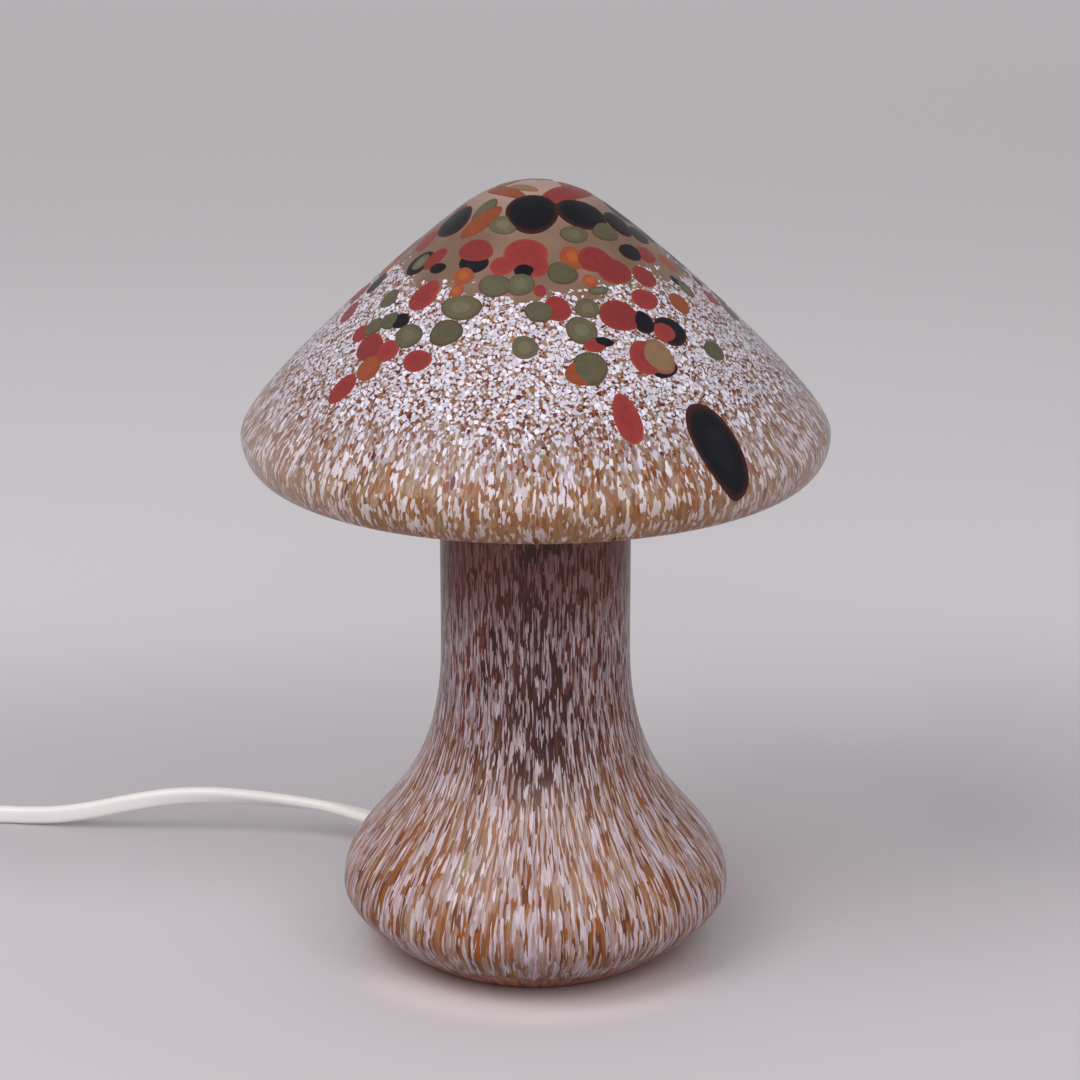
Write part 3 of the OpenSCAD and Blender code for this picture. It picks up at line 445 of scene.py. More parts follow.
def plastic(name, colour, roughness, tooth=900.0):
    """Moulded plastic or rubber with a fine tooth and a faint unevenness."""
    s = Shader(name, roughness)
    place = s.place()
    s.set("Base Color", s.adjust(colour, s.wander(place, 60.0, 2.0, 0.985, 1.015)))
    s.set("Normal", s.bump(s.noise(place, tooth, 2.0), 0.02, 0.0002))
    s.set("Roughness", s.wander(place, tooth / 3, 2.0, roughness * 0.94, roughness * 1.06))
    return s.material


def metal(name, colour, roughness):
    """Plated or pressed metal with fine drawing marks."""
    s = Shader(name, roughness, Metallic=1.0)
    place = s.place()
    stretched = s.vector("MULTIPLY", place, (1.0, 1.0, 9.0))
    marks = s.noise(stretched, 1400.0, 3.0)
    tarnish = s.span(s.noise(place, 90.0, 3.0), 0.35, 0.65, 0.0, 0.35)
    s.set("Base Color", s.mix(tarnish, colour, srgb(120, 116, 110)))
    s.set("Roughness", s.span(marks, 0.3, 0.7, roughness * 0.75, roughness * 1.3))
    s.set("Normal", s.bump(marks, 0.08, 0.0001))
    return s.material


def bulb_coat():
    """The white coat of the bulb's glass."""
    s = Shader("bulb_coat", 0.3, Coat_Weight=0.8, Coat_Roughness=0.05)
    cloud = s.noise(s.place(), 120.0, 2.0)
    s.set("Base Color", s.mix(cloud, srgb(240, 238, 232), srgb(232, 229, 220)))
    return s.material


# Name, colour, roughness, and how fine the tooth is where it isn't as usual
PLASTICS = [
    ("cord_pvc", (233, 227, 226), 0.34, 700.0),
    ("switch_plastic", (236, 235, 232), 0.28),
    ("plug_plastic", (230, 228, 226), 0.36),
    ("sleeve_plastic", (222, 222, 222), 0.3),
    ("seat_rubber", (224, 220, 212), 0.6),
    ("holder_plastic", (232, 229, 222), 0.4),
    ("holder_ceramic", (222, 216, 202), 0.25),
    ("core_pvc", (120, 72, 46), 0.4),
    ("tie_plastic", (38, 38, 40), 0.45),
    ("bulb_insulator", (26, 26, 30), 0.1),
    ("bulb_stem_glass", (206, 212, 214), 0.08),
]
METALS = [
    ("plated_steel", (206, 204, 200), 0.28),
    ("spring_steel", (140, 142, 150), 0.34),
    ("brass_contact", (212, 172, 96), 0.28),
    ("bulb_metal", (216, 216, 218), 0.24),
    ("filament_metal", (110, 110, 116), 0.5),
    ("pin_metal", (214, 208, 196), 0.2),
]
# The edge, the body and the heart of the discs of each colour
DISC_TONES = {
    "black": ((56, 26, 22), (14, 12, 20), (18, 18, 26)),
    "red": ((138, 56, 44), (129, 46, 46), (124, 43, 43)),
    "green": ((78, 64, 46), (86, 81, 62), (97, 92, 72)),
    "orange": ((132, 66, 46), (136, 68, 42), (150, 78, 40)),
    "tan": ((134, 80, 54), (128, 100, 74), (112, 98, 74)),
}


def make_materials():
    made = {
        "shade_glass": shade_glass(),
        "stem_glass": stem_glass(),
        "inner_glass": inner_glass(),
        "bulb_glass": bulb_coat(),
    }
    for name, tone, *finish in PLASTICS:
        made[name] = plastic(name, srgb(*tone), *finish)
    for name, tone, roughness in METALS:
        made[name] = metal(name, srgb(*tone), roughness)
    return made


MATERIALS = make_materials()
SPOTS = {
    name: spot_glass("spot_" + name, *[srgb(*tone) for tone in tones])
    for name, tones in DISC_TONES.items()
}


# ---- outlines of the glass

# The same lengths as in part.scad. A pull is how far a curve's end keeps its direction.
NECK_D = 64.8
STEM_H = 180.0
SEAT_Z = 182.7  # the underside of the shade's mouth, just above its rubber seat
CROWN_Z = SEAT_Z + 87.4
SHADE_R = 99.0
CROWN_R = 38.5
CROWN_ANGLE = 35
CROWN_PULL = 24
RIM_PULL = 10.4
RIM_W = 9.9
RIM_H = 12.4
RIM_Z = SEAT_Z - 9.0
WIDEST_Z = RIM_Z + RIM_H
UNDER_PULL = 20
MOUTH_R = 28.5
MOUTH_LAND = 4.0
MOUTH_PULL = 16
SHADE_WALL = 4.0
CROWN_STEPS = 20
RIM_STEPS = 16

FLARE_Z = 110.0
NECK_PULL = 60.0
BELLY_R = 66.9
BELLY_Z = 23.4
BELLY_PULL = 25.7
TURN_PULL = 6.6
FOOT_R = 42.0
FOOT_W = 7.0
FOOT_ANGLE = 27
FOOT_PULL = 9.5
FOOT_HOLLOW = 2.5
HOLLOW_PULLS = (6.0, 12.0)  # at the foot ring and at the middle
STEM_WALL = 5.0
FLOOR_T = 9.0
FLOOR_PULL = 10
NECK_STEPS = 30


def direction(angle):
    """Sideways and down, at an angle below level."""
    angle = math.radians(angle)
    return (math.cos(angle), -math.sin(angle))


def shade_outline():
    """Radius and height from the crown's top, round the rim, to the mouth."""
    along, down = direction(CROWN_ANGLE)
    end = (CROWN_R * -down, CROWN_Z - CROWN_R + CROWN_R * along)
    points = []
    for i in range(CROWN_STEPS + 1):
        a = math.radians(CROWN_ANGLE * i / CROWN_STEPS)
        points.append((CROWN_R * math.sin(a), CROWN_Z - CROWN_R + CROWN_R * math.cos(a)))
    points += bezier(
        end,
        (end[0] + CROWN_PULL * along, end[1] + CROWN_PULL * down),
        (SHADE_R, WIDEST_Z + RIM_PULL),
        (SHADE_R, WIDEST_Z),
        count=80,
    )
    for i in range(1, RIM_STEPS + 1):
        a = math.radians(90 * i / RIM_STEPS)
        points.append((SHADE_R - RIM_W * (1 - math.cos(a)), WIDEST_Z - RIM_H * math.sin(a)))
    points += bezier(
        (SHADE_R - RIM_W, RIM_Z),
        (SHADE_R - RIM_W - UNDER_PULL, RIM_Z),
        (MOUTH_R + MOUTH_LAND + MOUTH_PULL, SEAT_Z),
        (MOUTH_R + MOUTH_LAND, SEAT_Z),
        count=30,
    )
    points.append((MOUTH_R, SEAT_Z))
    return points


def stem_outline():
    """Radius and height from the neck's top, round the foot ring, to the middle of its hollow."""
    neck = NECK_D / 2
    along, down = direction(FOOT_ANGLE)
    points = [(neck, lerp(STEM_H, FLARE_Z, i / NECK_STEPS)) for i in range(NECK_STEPS + 1)]
    points += bezier(
        (neck, FLARE_Z),
        (neck, FLARE_Z - NECK_PULL),
        (BELLY_R, BELLY_Z + BELLY_PULL),
        (BELLY_R, BELLY_Z),
        count=70,
    )
    points += bezier(
        (BELLY_R, BELLY_Z),
        (BELLY_R, BELLY_Z - TURN_PULL),
        (FOOT_R + FOOT_PULL * along, FOOT_PULL * -down),
        (FOOT_R, 0.0),
        count=28,
    )
    points.append((FOOT_R - FOOT_W, 0.0))
    points += bezier(
        (FOOT_R - FOOT_W, 0.0),
        (FOOT_R - FOOT_W - HOLLOW_PULLS[0], FOOT_HOLLOW),
        (HOLLOW_PULLS[1], FOOT_HOLLOW),
        (0.0, FOOT_HOLLOW),
        count=10,
    )
    return points


def stem_inside():
    """Radius and height from the middle of the stem's floor up to the neck's top."""
    neck = NECK_D / 2 - STEM_WALL
    belly = BELLY_R - STEM_WALL
    points = [(0.0, FLOOR_T)]
    points += bezier(
        (0.0, FLOOR_T),
        (FOOT_R, FLOOR_T),
        (belly, BELLY_Z - FLOOR_PULL),
        (belly, BELLY_Z),
        count=16,
    )
    points += bezier(
        (belly, BELLY_Z),
        (belly, BELLY_Z + BELLY_PULL),
        (neck, FLARE_Z - NECK_PULL),
        (neck, FLARE_Z),
        count=30,
    )
    points.append((neck, STEM_H))
    return points


def inset(points, distance):
    """The outline moved inwards by a wall's thickness."""
    moved = []
    for i, (r, z) in enumerate(points):
        before = points[max(i - 1, 0)]
        after = points[min(i + 1, len(points) - 1)]
        dr = after[0] - before[0]
        dz = after[1] - before[1]
        length = math.hypot(dr, dz)
        if i == 0:
            dr, dz, length = 1.0, 0.0, 1.0
        if i == len(points) - 1:
            dr, dz, length = -1.0, 0.0, 1.0
        moved.append((r + distance * dz / length, z - distance * dr / length))
    return moved


STEEPEST = 0.97  # the most of a step in the grain coordinates that goes sideways
SHORT = 1e-6  # how far short of an outline's end a point on it stays


class Skin:
    """An outline with its arc length and the grain coordinates that lie on it.

    A grain is 'drawn' times as long as it is wide. 'across' is the radius that the grain
    coordinates use and 'along' their height, both in millimetres.
    """

    def __init__(self, outline, drawn):
        self.outline = outline
        self.run = [0.0]
        self.across = [outline[0][0]]
        self.along = [0.0]
        for i in range(1, len(outline)):
            dr = outline[i][0] - outline[i - 1][0]
            dz = outline[i][1] - outline[i - 1][1]
            step = math.hypot(dr, dz)
            metric = step / drawn(self.run[-1], outline[i][1])
            sideways = min(max(dr, -STEEPEST * metric), STEEPEST * metric)
            self.run.append(self.run[-1] + step)
            self.across.append(self.across[-1] + sideways)
            self.along.append(self.along[-1] + math.sqrt(max(metric**2 - sideways**2, 0.0)))

    def at(self, run):
        """(radius, height, slope out, slope up, across, along) at an arc length from the top."""
        run = min(max(run, 0.0), self.run[-1] - SHORT)
        i = bisect_right(self.run, run) - 1
        t = (run - self.run[i]) / (self.run[i + 1] - self.run[i])
        (r0, z0), (r1, z1) = self.outline[i : i + 2]
        step = math.hypot(r1 - r0, z1 - z0)
        across = lerp(self.across[i], self.across[i + 1], t)
        along = lerp(self.along[i], self.along[i + 1], t)
        return lerp(r0, r1, t), lerp(z0, z1, t), (z0 - z1) / step, (r1 - r0) / step, across, along


SHADE_DRAWN = 3.4  # at the rim
SHADE_DRAWN_FROM = 97.0  # the run where the grains begin to be drawn out
SHADE_DRAWN_OVER = 34.0
STEM_DRAWN = (9.0, 12.0)  # in the neck and in the belly
STEM_DRAWN_FROM = 100.0  # the height where the neck's streaks give way
STEM_DRAWN_OVER = 60.0

# The blown shade is out of round: how far, how many times round it, and from which angle
WOBBLES = ((0.25, 1, 0.6), (0.18, 2, 2.1), (0.07, 5, 0.0))
WOBBLE_INWARDS = 0.35  # keeps it inside the CAD shade
WOBBLE_RUN = 60  # over which it grows from the top


def shade_drawn(run, z):
    return lerp(1.0, SHADE_DRAWN, smooth((run - SHADE_DRAWN_FROM) / SHADE_DRAWN_OVER))


def stem_drawn(run, z):
    return lerp(*STEM_DRAWN, smooth((STEM_DRAWN_FROM - z) / STEM_DRAWN_OVER))


shade_skin = Skin(shade_outline(), shade_drawn)
stem_skin = Skin(stem_outline(), stem_drawn)


def shade_wobble(azimuth, run):
    """How far the blown shade is out of round, in millimetres."""
    amount = sum(size * math.sin(times * azimuth + angle) for size, times, angle in WOBBLES)
    return (amount - WOBBLE_INWARDS) * smooth(run / WOBBLE_RUN)


def shade_point(azimuth, run, lift):
    """The point at an azimuth and an arc length from the top, lifted off the skin."""
    r, z, out, up, _, _ = shade_skin.at(run)
    r += shade_wobble(azimuth, run) + lift * out
    return (r * math.cos(azimuth), r * math.sin(azimuth), z + lift * up)


# ---- glass pieces

TURNS = 240  # faces round a glass piece


def still(azimuth, row):
    """No wobble."""
    return 0.0


def revolve(outline, wobble):
    """A closed skin round the outline.

    Gives its points, the row and azimuth of each, its faces, and the row of each.
    """
    vertices, places, rows = [], [], []
    for row, (r, z) in enumerate(outline):
        first = len(vertices)
        count = TURNS if r > 0 else 1
        rows.append([first + j % count for j in range(TURNS)])
        for j in range(count):
            a = 2 * math.pi * j / TURNS
            reach = r + wobble(a, row) if r > 0 else 0.0
            vertices.append((reach * math.cos(a), reach * math.sin(a), z))
            places.append((row, a))
    faces, face_rows = [], []
    for row, here in enumerate(rows):
        below = rows[(row + 1) % len(rows)]
        for j in range(TURNS):
            k = (j + 1) % TURNS
            face = tuple(dict.fromkeys((here[j], below[j], below[k], here[k])))
            if len(face) > 2:
                faces.append(face)
                face_rows.append(row)
    return vertices, places, faces, face_rows


def glass_piece(name, body, node, skin, inside, wobble):
    """A wall of glass between an outer skin and an inner outline that comes back to its start.

    Gives the piece, and for each of its points the row of the skin that it belongs to.
    """
    vertices, places, faces, face_rows = revolve(skin.outline + inside, wobble)
    piece = make_mesh(name, vertices, faces, MATERIALS[name], body)
    piece.data.materials.append(MATERIALS["inner_glass"])
    last = len(skin.outline) - 1
    for polygon, row in zip(piece.data.polygons, face_rows):
        polygon.material_index = 0 if row < last else 1
    rows = [min(row, last) for row, _ in places]
    grain = []
    for row, (_, a) in zip(rows, places):
        across = skin.across[row]
        grain.append((across * math.cos(a), across * math.sin(a), skin.along[row]))
    set_attribute(piece, "grain", grain)
    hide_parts(node)
    return piece, rows


# The neck is darker at its front, with fewer white streaks, most just above the belly
DUSK_X = 2.0
DUSK_WIDTH = 34.0  # degrees
DUSK_LOW = 58.0
DUSK_FULL = 80.0
DUSK_NECK = 0.9  # what is left of it higher up
DUSK_HIGH = 90.0  # where it begins to fade to that
DUSK_FADE = 25.0  # and over what height


def make_shade():
    inside = inset(shade_skin.outline, SHADE_WALL)[::-1]
    outer_rows = len(shade_skin.outline)

    def wobble(azimuth, row):
        outer = row if row < outer_rows else 2 * outer_rows - 1 - row
        return shade_wobble(azimuth, shade_skin.run[outer])

    shade, rows = glass_piece("shade_glass", "shade", "shade", shade_skin, inside, wobble)
    set_attribute(shade, "run", [shade_skin.run[row] for row in rows])


def make_stem():
    stem, rows = glass_piece("stem_glass", "lamp", "stem", stem_skin, stem_inside(), still)
    set_attribute(stem, "height", [stem_skin.outline[row][1] for row in rows])
    dusk = []
    for vertex in stem.data.vertices:
        x, y, z = vertex.co / MM
        aside = math.degrees(math.atan2(x - DUSK_X, -y))
        amount = smooth((z - DUSK_LOW) / (DUSK_FULL - DUSK_LOW))
        amount *= lerp(1.0, DUSK_NECK, smooth((z - DUSK_HIGH) / DUSK_FADE))
        dusk.append(amount * math.exp(-((aside / DUSK_WIDTH) ** 2)))
    set_attribute(stem, "dusk", dusk)


make_shade()
make_stem()


# ---- discs melted into the crown

SPOT_RING = 1.1  # greatest distance between a disc's rings
SPOT_SIDES = 40  # least number of faces round a disc
SPOT_SIDES_PER_MM = 2.2  # and for each millimetre of its size
SPOT_OVAL = 0.035  # how far its edge is out of round, twice round it
SPOT_LOBES = 0.03  # and three times round it
SPOT_LIFT = 0.05  # how far the lowest discs stand proud
SPOT_LAYER = 0.018  # between discs that lie on each other
SPOT_EDGE = -0.12  # how far a disc's edge is sunk
SPOT_SLOPE = 0.05  # least slope of the cone that a disc is laid out on
SPOT_NEAR = 1.3  # discs no further apart than this times their size may lie on each other
SPOT_SEED = 11
random.seed(SPOT_SEED)


class SpotSheet:
    """All the discs of one colour, as one mesh on the shade."""

    def __init__(self):
        self.vertices, self.faces, self.normals = [], [], []
        self.reach, self.tone, self.grain = [], [], []

    def add(self, azimuth, run, width, length, turn, lift):
        """A disc centred at an azimuth and an arc length from the top, turned from the meridian."""
        start = len(self.vertices)
        phase = random.uniform(0, 2 * math.pi)
        tone = random.random()
        # The skin is laid flat as a cone, so that an ellipse stays one near the crown's top
        radius, _, _, slope, _, _ = shade_skin.at(run)
        slope = max(slope, SPOT_SLOPE)
        tip = radius / slope
        size = max(width, length)
        rings = math.ceil(size / 2 / SPOT_RING)
        sides = max(SPOT_SIDES, round(SPOT_SIDES_PER_MM * size))
        for ring in range(rings + 1):
            share = ring / rings
            for side in range(sides if ring else 1):
                a = 2 * math.pi * side / sides
                edge = 1 + SPOT_OVAL * math.sin(2 * a + phase)
                edge += SPOT_LOBES * math.sin(3 * a + 2.3 * phase)
                u = width / 2 * share * edge * math.cos(a)
                v = length / 2 * share * edge * math.sin(a)
                sideways = u * math.cos(turn) - v * math.sin(turn)
                down = u * math.sin(turn) + v * math.cos(turn)
                height = lift if ring < rings else SPOT_EDGE
                here = run + math.hypot(tip + down, sideways) - tip
                there = azimuth + math.atan2(sideways, tip + down) / slope
                self.vertices.append(shade_point(there, here, height))
                _, _, out, up, across, along = shade_skin.at(here)
                self.normals.append((out * math.cos(there), out * math.sin(there), up))
                self.grain.append((across * math.cos(there), across * math.sin(there), along))
                self.reach.append(share)
                self.tone.append(tone)
        for side in range(sides):
            after = (side + 1) % sides
            self.faces.append((start, start + 1 + after, start + 1 + side))
            for ring in range(1, rings):
                low = start + 1 + (ring - 1) * sides
                high = low + sides
                self.faces.append((low + side, low + after, high + after, high + side))

    def make(self, colour):
        name = "spots_" + colour
        piece = make_mesh(name, self.vertices, self.faces, SPOTS[colour], "shade")
        # Shaded with the shade's own slope, so that a disc looks melted in
        piece.data.normals_split_custom_set_from_vertices(self.normals)
        set_attribute(piece, "reach", self.reach)
        set_attribute(piece, "tone", self.tone)
        set_attribute(piece, "grain", self.grain)


# Discs in front and some behind: colour, azimuth, run from the top, width, length and turn, the
# azimuth and the turn in degrees
FRONT_SPOTS = [
    ("red", 330, 13, 29, 9, 8), ("orange", 215, 12, 20, 6, -5), ("tan", 238, 7.5, 12, 5, 0),
    ("green", 221, 23.5, 8, 14, -15), ("orange", 226.5, 28, 8, 18, 25),
    ("green", 246, 28, 11, 8, 10), ("black", 199, 31, 15, 15.5, 0),
    ("black", 267, 21.5, 17.5, 20, 0), ("black", 313, 24, 18.5, 15, 25),
    ("green", 296, 32, 10, 8, 0), ("green", 320, 33, 11, 9, 10), ("black", 340, 32, 11, 12, 0),
    ("black", 326, 43, 9.5, 8, 15), ("red", 336, 46, 9, 8, 0), ("red", 322, 53, 9.5, 9.5, 0),
    ("red", 314, 61, 11, 8.5, 15), ("black", 206, 49.5, 11, 13, 20), ("green", 206, 49, 7, 9, 20),
    ("red", 214, 46, 8, 11, 15), ("black", 220.5, 49, 8, 5, -10),
    ("black", 238.5, 44.5, 12, 9.5, 0), ("red", 236, 39.5, 13.5, 9.5, -5),
    ("red", 264.5, 39.5, 15.5, 13, 0), ("red", 254, 44.5, 9, 8, -20),
    ("red", 270.5, 44, 9, 9.5, 20), ("black", 265, 46, 7.5, 6, 0),
    ("green", 253, 52.5, 11.5, 9.5, 0), ("green", 264, 51.5, 9.5, 9.5, 0),
    ("green", 282.5, 47.3, 10.5, 9.5, 0), ("orange", 289.5, 41.5, 9, 10, 0),
    ("red", 301, 43, 13.5, 11, 15), ("red", 308, 48.5, 13, 11, 20),
    ("orange", 294, 51, 5.5, 5.5, 0), ("green", 296, 55, 8, 3.5, 0),
    ("black", 339, 58.5, 5, 6, 0), ("orange", 329, 66, 10, 10, 0), ("red", 272, 54, 4.5, 5, 0),
    ("orange", 237, 50, 8, 7.5, 0), ("orange", 237.5, 56, 5.5, 6, 0),
    ("green", 242.5, 62, 15.5, 9.5, 0), ("red", 224, 60, 10.5, 13, 15),
    ("green", 207.5, 65, 9, 9, 0), ("red", 278, 61, 9.5, 10, 0), ("green", 271.5, 62, 10, 8.5, 0),
    ("green", 289, 61.5, 8.5, 8, 0), ("red", 300, 65.5, 15, 12, 10),
    ("black", 307.5, 69.3, 8, 9.5, 0), ("black", 315.5, 74.5, 12.5, 12, 0),
    ("red", 313, 74.5, 8.5, 9, 0), ("green", 241, 72, 12, 10.5, 0),
    ("green", 228.5, 75.5, 11, 10, 10), ("black", 221.5, 71, 8, 6.5, 0),
    ("green", 217, 72, 8.5, 7.5, 0), ("green", 212, 76, 8, 8, 0), ("red", 208.5, 80, 8, 7, 0),
    ("red", 217, 83, 12.5, 11, 15), ("red", 224.5, 82.5, 9, 9, 0), ("orange", 222, 90, 10, 10, 0),
    ("red", 236, 83.7, 10.5, 9, -10), ("red", 218, 99.5, 8.5, 13, 15),
    ("green", 267, 75.5, 10, 10, 0), ("green", 285, 69.6, 10.5, 11, 10),
    ("red", 288, 75.5, 7.5, 5.5, 0), ("black", 291, 74.5, 7, 4, 10),
    ("orange", 282.5, 85.3, 11, 10, 0), ("green", 285, 83.8, 12, 12.5, 0),
    ("black", 306, 86.5, 12, 9, 0), ("red", 302.5, 82, 13, 13, 0),
    ("tan", 306, 82.5, 12, 13.5, 0), ("green", 327, 85.5, 10, 9.5, 0),
    ("green", 341, 62.7, 7, 9, 0), ("red", 291, 103, 9.5, 20, -5),
    ("black", 309.7, 118, 17.5, 37.5, -3),
]
BACK_SPOTS = [
    ("black", 128, 27, 17, 15, 0), ("black", 62, 24, 15, 16, 20), ("black", 96, 112, 14, 28, 15),
    ("red", 10, 12, 14, 9, 0), ("tan", 150, 10, 13, 9, 0), ("green", 88, 10, 12, 9, 10),
]
# Discs strewn round the back: how many, nearest and furthest run, least and most size, how many
# sizes apart, and whether they thin out down the flank
SPOT_ROWS = [(34, 24, 58, 8, 14, 0.6, False), (42, 50, 86, 7, 12, 0.75, True)]
SPOT_BACK = (-12, 190)  # azimuths that those rows keep to
SPOT_STRETCH = (0.72, 1.1)
SPOT_TURN = 35  # degrees to either side
SPOT_TRIES = 600
SPOT_COLOURS = ["red"] * 9 + ["green"] * 9 + ["black"] * 4 + ["orange"] * 4 + ["tan"] * 2


def spots_apart(one, other):
    """Distance between two discs over half the sum of their widths."""
    _, azimuth, run, width, _, _ = one
    _, other_azimuth, other_run, other_width, _, _ = other
    across = math.radians((azimuth - other_azimuth + 180) % 360 - 180)
    radius = shade_skin.at((run + other_run) / 2)[0]
    return math.hypot(across * radius, run - other_run) / ((width + other_width) / 2)


def scatter_spots():
    """Discs that crowd the back of the crown and thin out down the flank."""
    placed = []
    for count, near, far, least, most, crowding, thins in SPOT_ROWS:
        wanted = len(placed) + count
        for _ in range(SPOT_TRIES):
            if len(placed) == wanted:
                break
            run = random.triangular(near, far, near) if thins else random.uniform(near, far)
            width = random.uniform(least, most)
            colour = random.choice(SPOT_COLOURS)
            length = width * random.uniform(*SPOT_STRETCH)
            azimuth = random.uniform(*SPOT_BACK)
            disc = (colour, azimuth, run, width, length, random.uniform(-SPOT_TURN, SPOT_TURN))
            others = placed + BACK_SPOTS + FRONT_SPOTS
            if all(spots_apart(disc, other) > crowding for other in others):
                placed.append(disc)
    return placed


def make_spots():
    sheets = {colour: SpotSheet() for colour in SPOTS}
    discs = scatter_spots() + BACK_SPOTS + FRONT_SPOTS
    layers = []
    for i, disc in enumerate(discs):
        colour, azimuth, run, width, length, turn = disc
        under = [layers[j] for j in range(i) if spots_apart(disc, discs[j]) < SPOT_NEAR]
        layers.append(max(under, default=-1) + 1)
        lift = SPOT_LIFT + SPOT_LAYER * layers[i]
        sheets[colour].add(math.radians(azimuth), run, width, length, math.radians(turn), lift)
    for colour, sheet in sheets.items():
        sheet.make(colour)


make_spots()


# ---- cord

CORD_W = 6.8
CORD_T = 4.2
HOLE_AZIMUTH = 130.0
SWITCH = (-240.0, 37.0)
SWITCH_MOUTH = 25.0
CORD_Z = 7.0
COIL = (-282.9, -20.0)
COIL_OUT = 42.6
COIL_IN = 28.1
COIL_FOOT = 0.6
COIL_TURNS = 6.589
COIL_RISE_TURNS = 0.5
COIL_GAP = 0.2  # between its two layers
COIL_POINTS = 24  # for each turn
PLUG = (-305.0, 44.0, 6.85)
PLUG_SOCKET = 21.5  # how far the cord reaches into the plug
SLEEVE_MOUTH = (87.95, 15.62)  # radius and height of the grommet's sleeve mouth
SWITCH_DIP = 1.0  # how far the cord lies lower in the middle of the switch

# x, y and z of the cord's middle and the turn of its wide side from level in degrees, as in
# part.scad but without the points inside the coil
LEAD_ROUTE = [
    (-66.5, 78, 14.4, 5), (-78, 85.5, 14.4, 18), (-93, 89.5, 15, 36), (-108, 91, 16, 54),
    (-123, 92, 16.4, 70), (-138, 93.5, 15.2, 80), (-153, 95.5, 12, 88), (-168, 98, 8, 90),
    (-182, 101, 4.9, 90), (-195, 103.5, 3.6, 90), (-207, 104.5, 3.5, 90), (-218, 102, 3.5, 80),
    (-228, 95.5, 3.8, 60), (-235.5, 86, 4.8, 30), (-239, 78, 6.4, 8), (-240, 71, 7, 0),
]
TAIL_ROUTE = [(-240, 3, 7, 0), (-240, -3, 6.5, 12), (-240, -10, 5.1, 45)]
END_ROUTE = [(-317, 14, 9, 90), (-313, 25, 6.8, 70), (-308.5, 34, 6.4, 35)]


def coil_route():
    """Flat turns wound in along the table and out again on top of them."""
    points = []
    count = int(COIL_TURNS * COIL_POINTS)
    low = COIL_FOOT + CORD_W / 2
    high = low + CORD_W + COIL_GAP
    for i in range(1, count):
        turns = COIL_TURNS * i / count
        share = 1 - abs(2 * turns / COIL_TURNS - 1)
        radius = lerp(COIL_OUT, COIL_IN, share)
        angle = -2 * math.pi * turns
        rise = smooth((turns - COIL_TURNS / 2) / COIL_RISE_TURNS + 0.5)
        x = COIL[0] + radius * math.cos(angle)
        y = COIL[1] + radius * math.sin(angle)
        points.append((x, y, lerp(low, high, rise), 90.0))
    return points


def cord_route():
    """The whole cord, from the mouth of the grommet's sleeve to inside the plug."""
    azimuth = math.radians(HOLE_AZIMUTH)
    radius, height = SLEEVE_MOUTH
    start = (radius * math.cos(azimuth), radius * math.sin(azimuth), height, 0.0)
    x, y = SWITCH
    through = [
        (x, y + SWITCH_MOUTH, CORD_Z, 0.0),
        (x, y, CORD_Z - SWITCH_DIP, 0.0),
        (x, y - SWITCH_MOUTH, CORD_Z, 0.0),
    ]
    plug = [(*PLUG, 0.0), (PLUG[0], PLUG[1] + PLUG_SOCKET, PLUG[2], 0.0)]
    return [start] + LEAD_ROUTE + through + TAIL_ROUTE + coil_route() + END_ROUTE + plug


def smooth_route(points, step):
    """Points along a curve through the given ones, about a step apart."""
    made = [points[0]]
    for i in range(len(points) - 1):
        before = points[max(i - 1, 0)]
        start, end = points[i], points[i + 1]
        after = points[min(i + 2, len(points) - 1)]
        length = math.dist(start[:3], end[:3])
        # Tangents as for a curve whose parameter is its length
        first = math.dist(before[:3], start[:3]) or length
        second = math.dist(end[:3], after[:3]) or length
        count = max(round(length / step), 1)
        for j in range(1, count + 1):
            t = j / count
            row = []
            for a, b, c, d in zip(before, start, end, after):
                slope_in = (c - a) / (first + length) * length
                slope_out = (d - b) / (length + second) * length
                row.append(
                    (2 * t**3 - 3 * t**2 + 1) * b
                    + (t**3 - 2 * t**2 + t) * slope_in
                    + (3 * t**2 - 2 * t**3) * c
                    + (t**3 - t**2) * slope_out
                )
            made.append(tuple(row))
    return made


CORD_STEP = 2.5  # between rings
CORD_ARC = 10  # faces round each of its two rounded edges


def section_points():
    """Across and through the flat cord, round its outline."""
    points = []
    shift = (CORD_W - CORD_T) / 2
    for side in (1, -1):
        for i in range(CORD_ARC + 1):
            a = math.pi * (i / CORD_ARC - 0.5)
            across = side * (shift + CORD_T / 2 * math.cos(a))
            points.append((across, side * CORD_T / 2 * math.sin(a)))
    return points


def make_cord():
    route = smooth_route(cord_route(), CORD_STEP)
    section = section_points()
    vertices, faces = [], []
    for i, (x, y, z, roll) in enumerate(route):
        before = route[max(i - 1, 0)]
        after = route[min(i + 1, len(route) - 1)]
        way = Vector(after[:3]) - Vector(before[:3])
        way.normalize()
        level = Vector((0.0, 0.0, 1.0)).cross(way).normalized()
        up = way.cross(level)
        turn = math.radians(roll)
        wide = math.cos(turn) * level + math.sin(turn) * up
        thin = way.cross(wide)
        for u, v in section:
            vertices.append(tuple(Vector((x, y, z)) + u * wide + v * thin))
    count = len(section)
    for i in range(len(route) - 1):
        for j in range(count):
            k = (j + 1) % count
            low, high = i * count, (i + 1) * count
            faces.append((low + j, low + k, high + k, high + j))
    faces.append(tuple(range(count))[::-1])
    faces.append(tuple(range(len(vertices) - count, len(vertices))))
    cord = make_mesh("mains_cord", vertices, faces, MATERIALS["cord_pvc"], "lamp")
    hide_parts("cord_lead", "cord_tail", "cord_coil", "cord_end")


make_cord()


# ---- the lamp's other parts

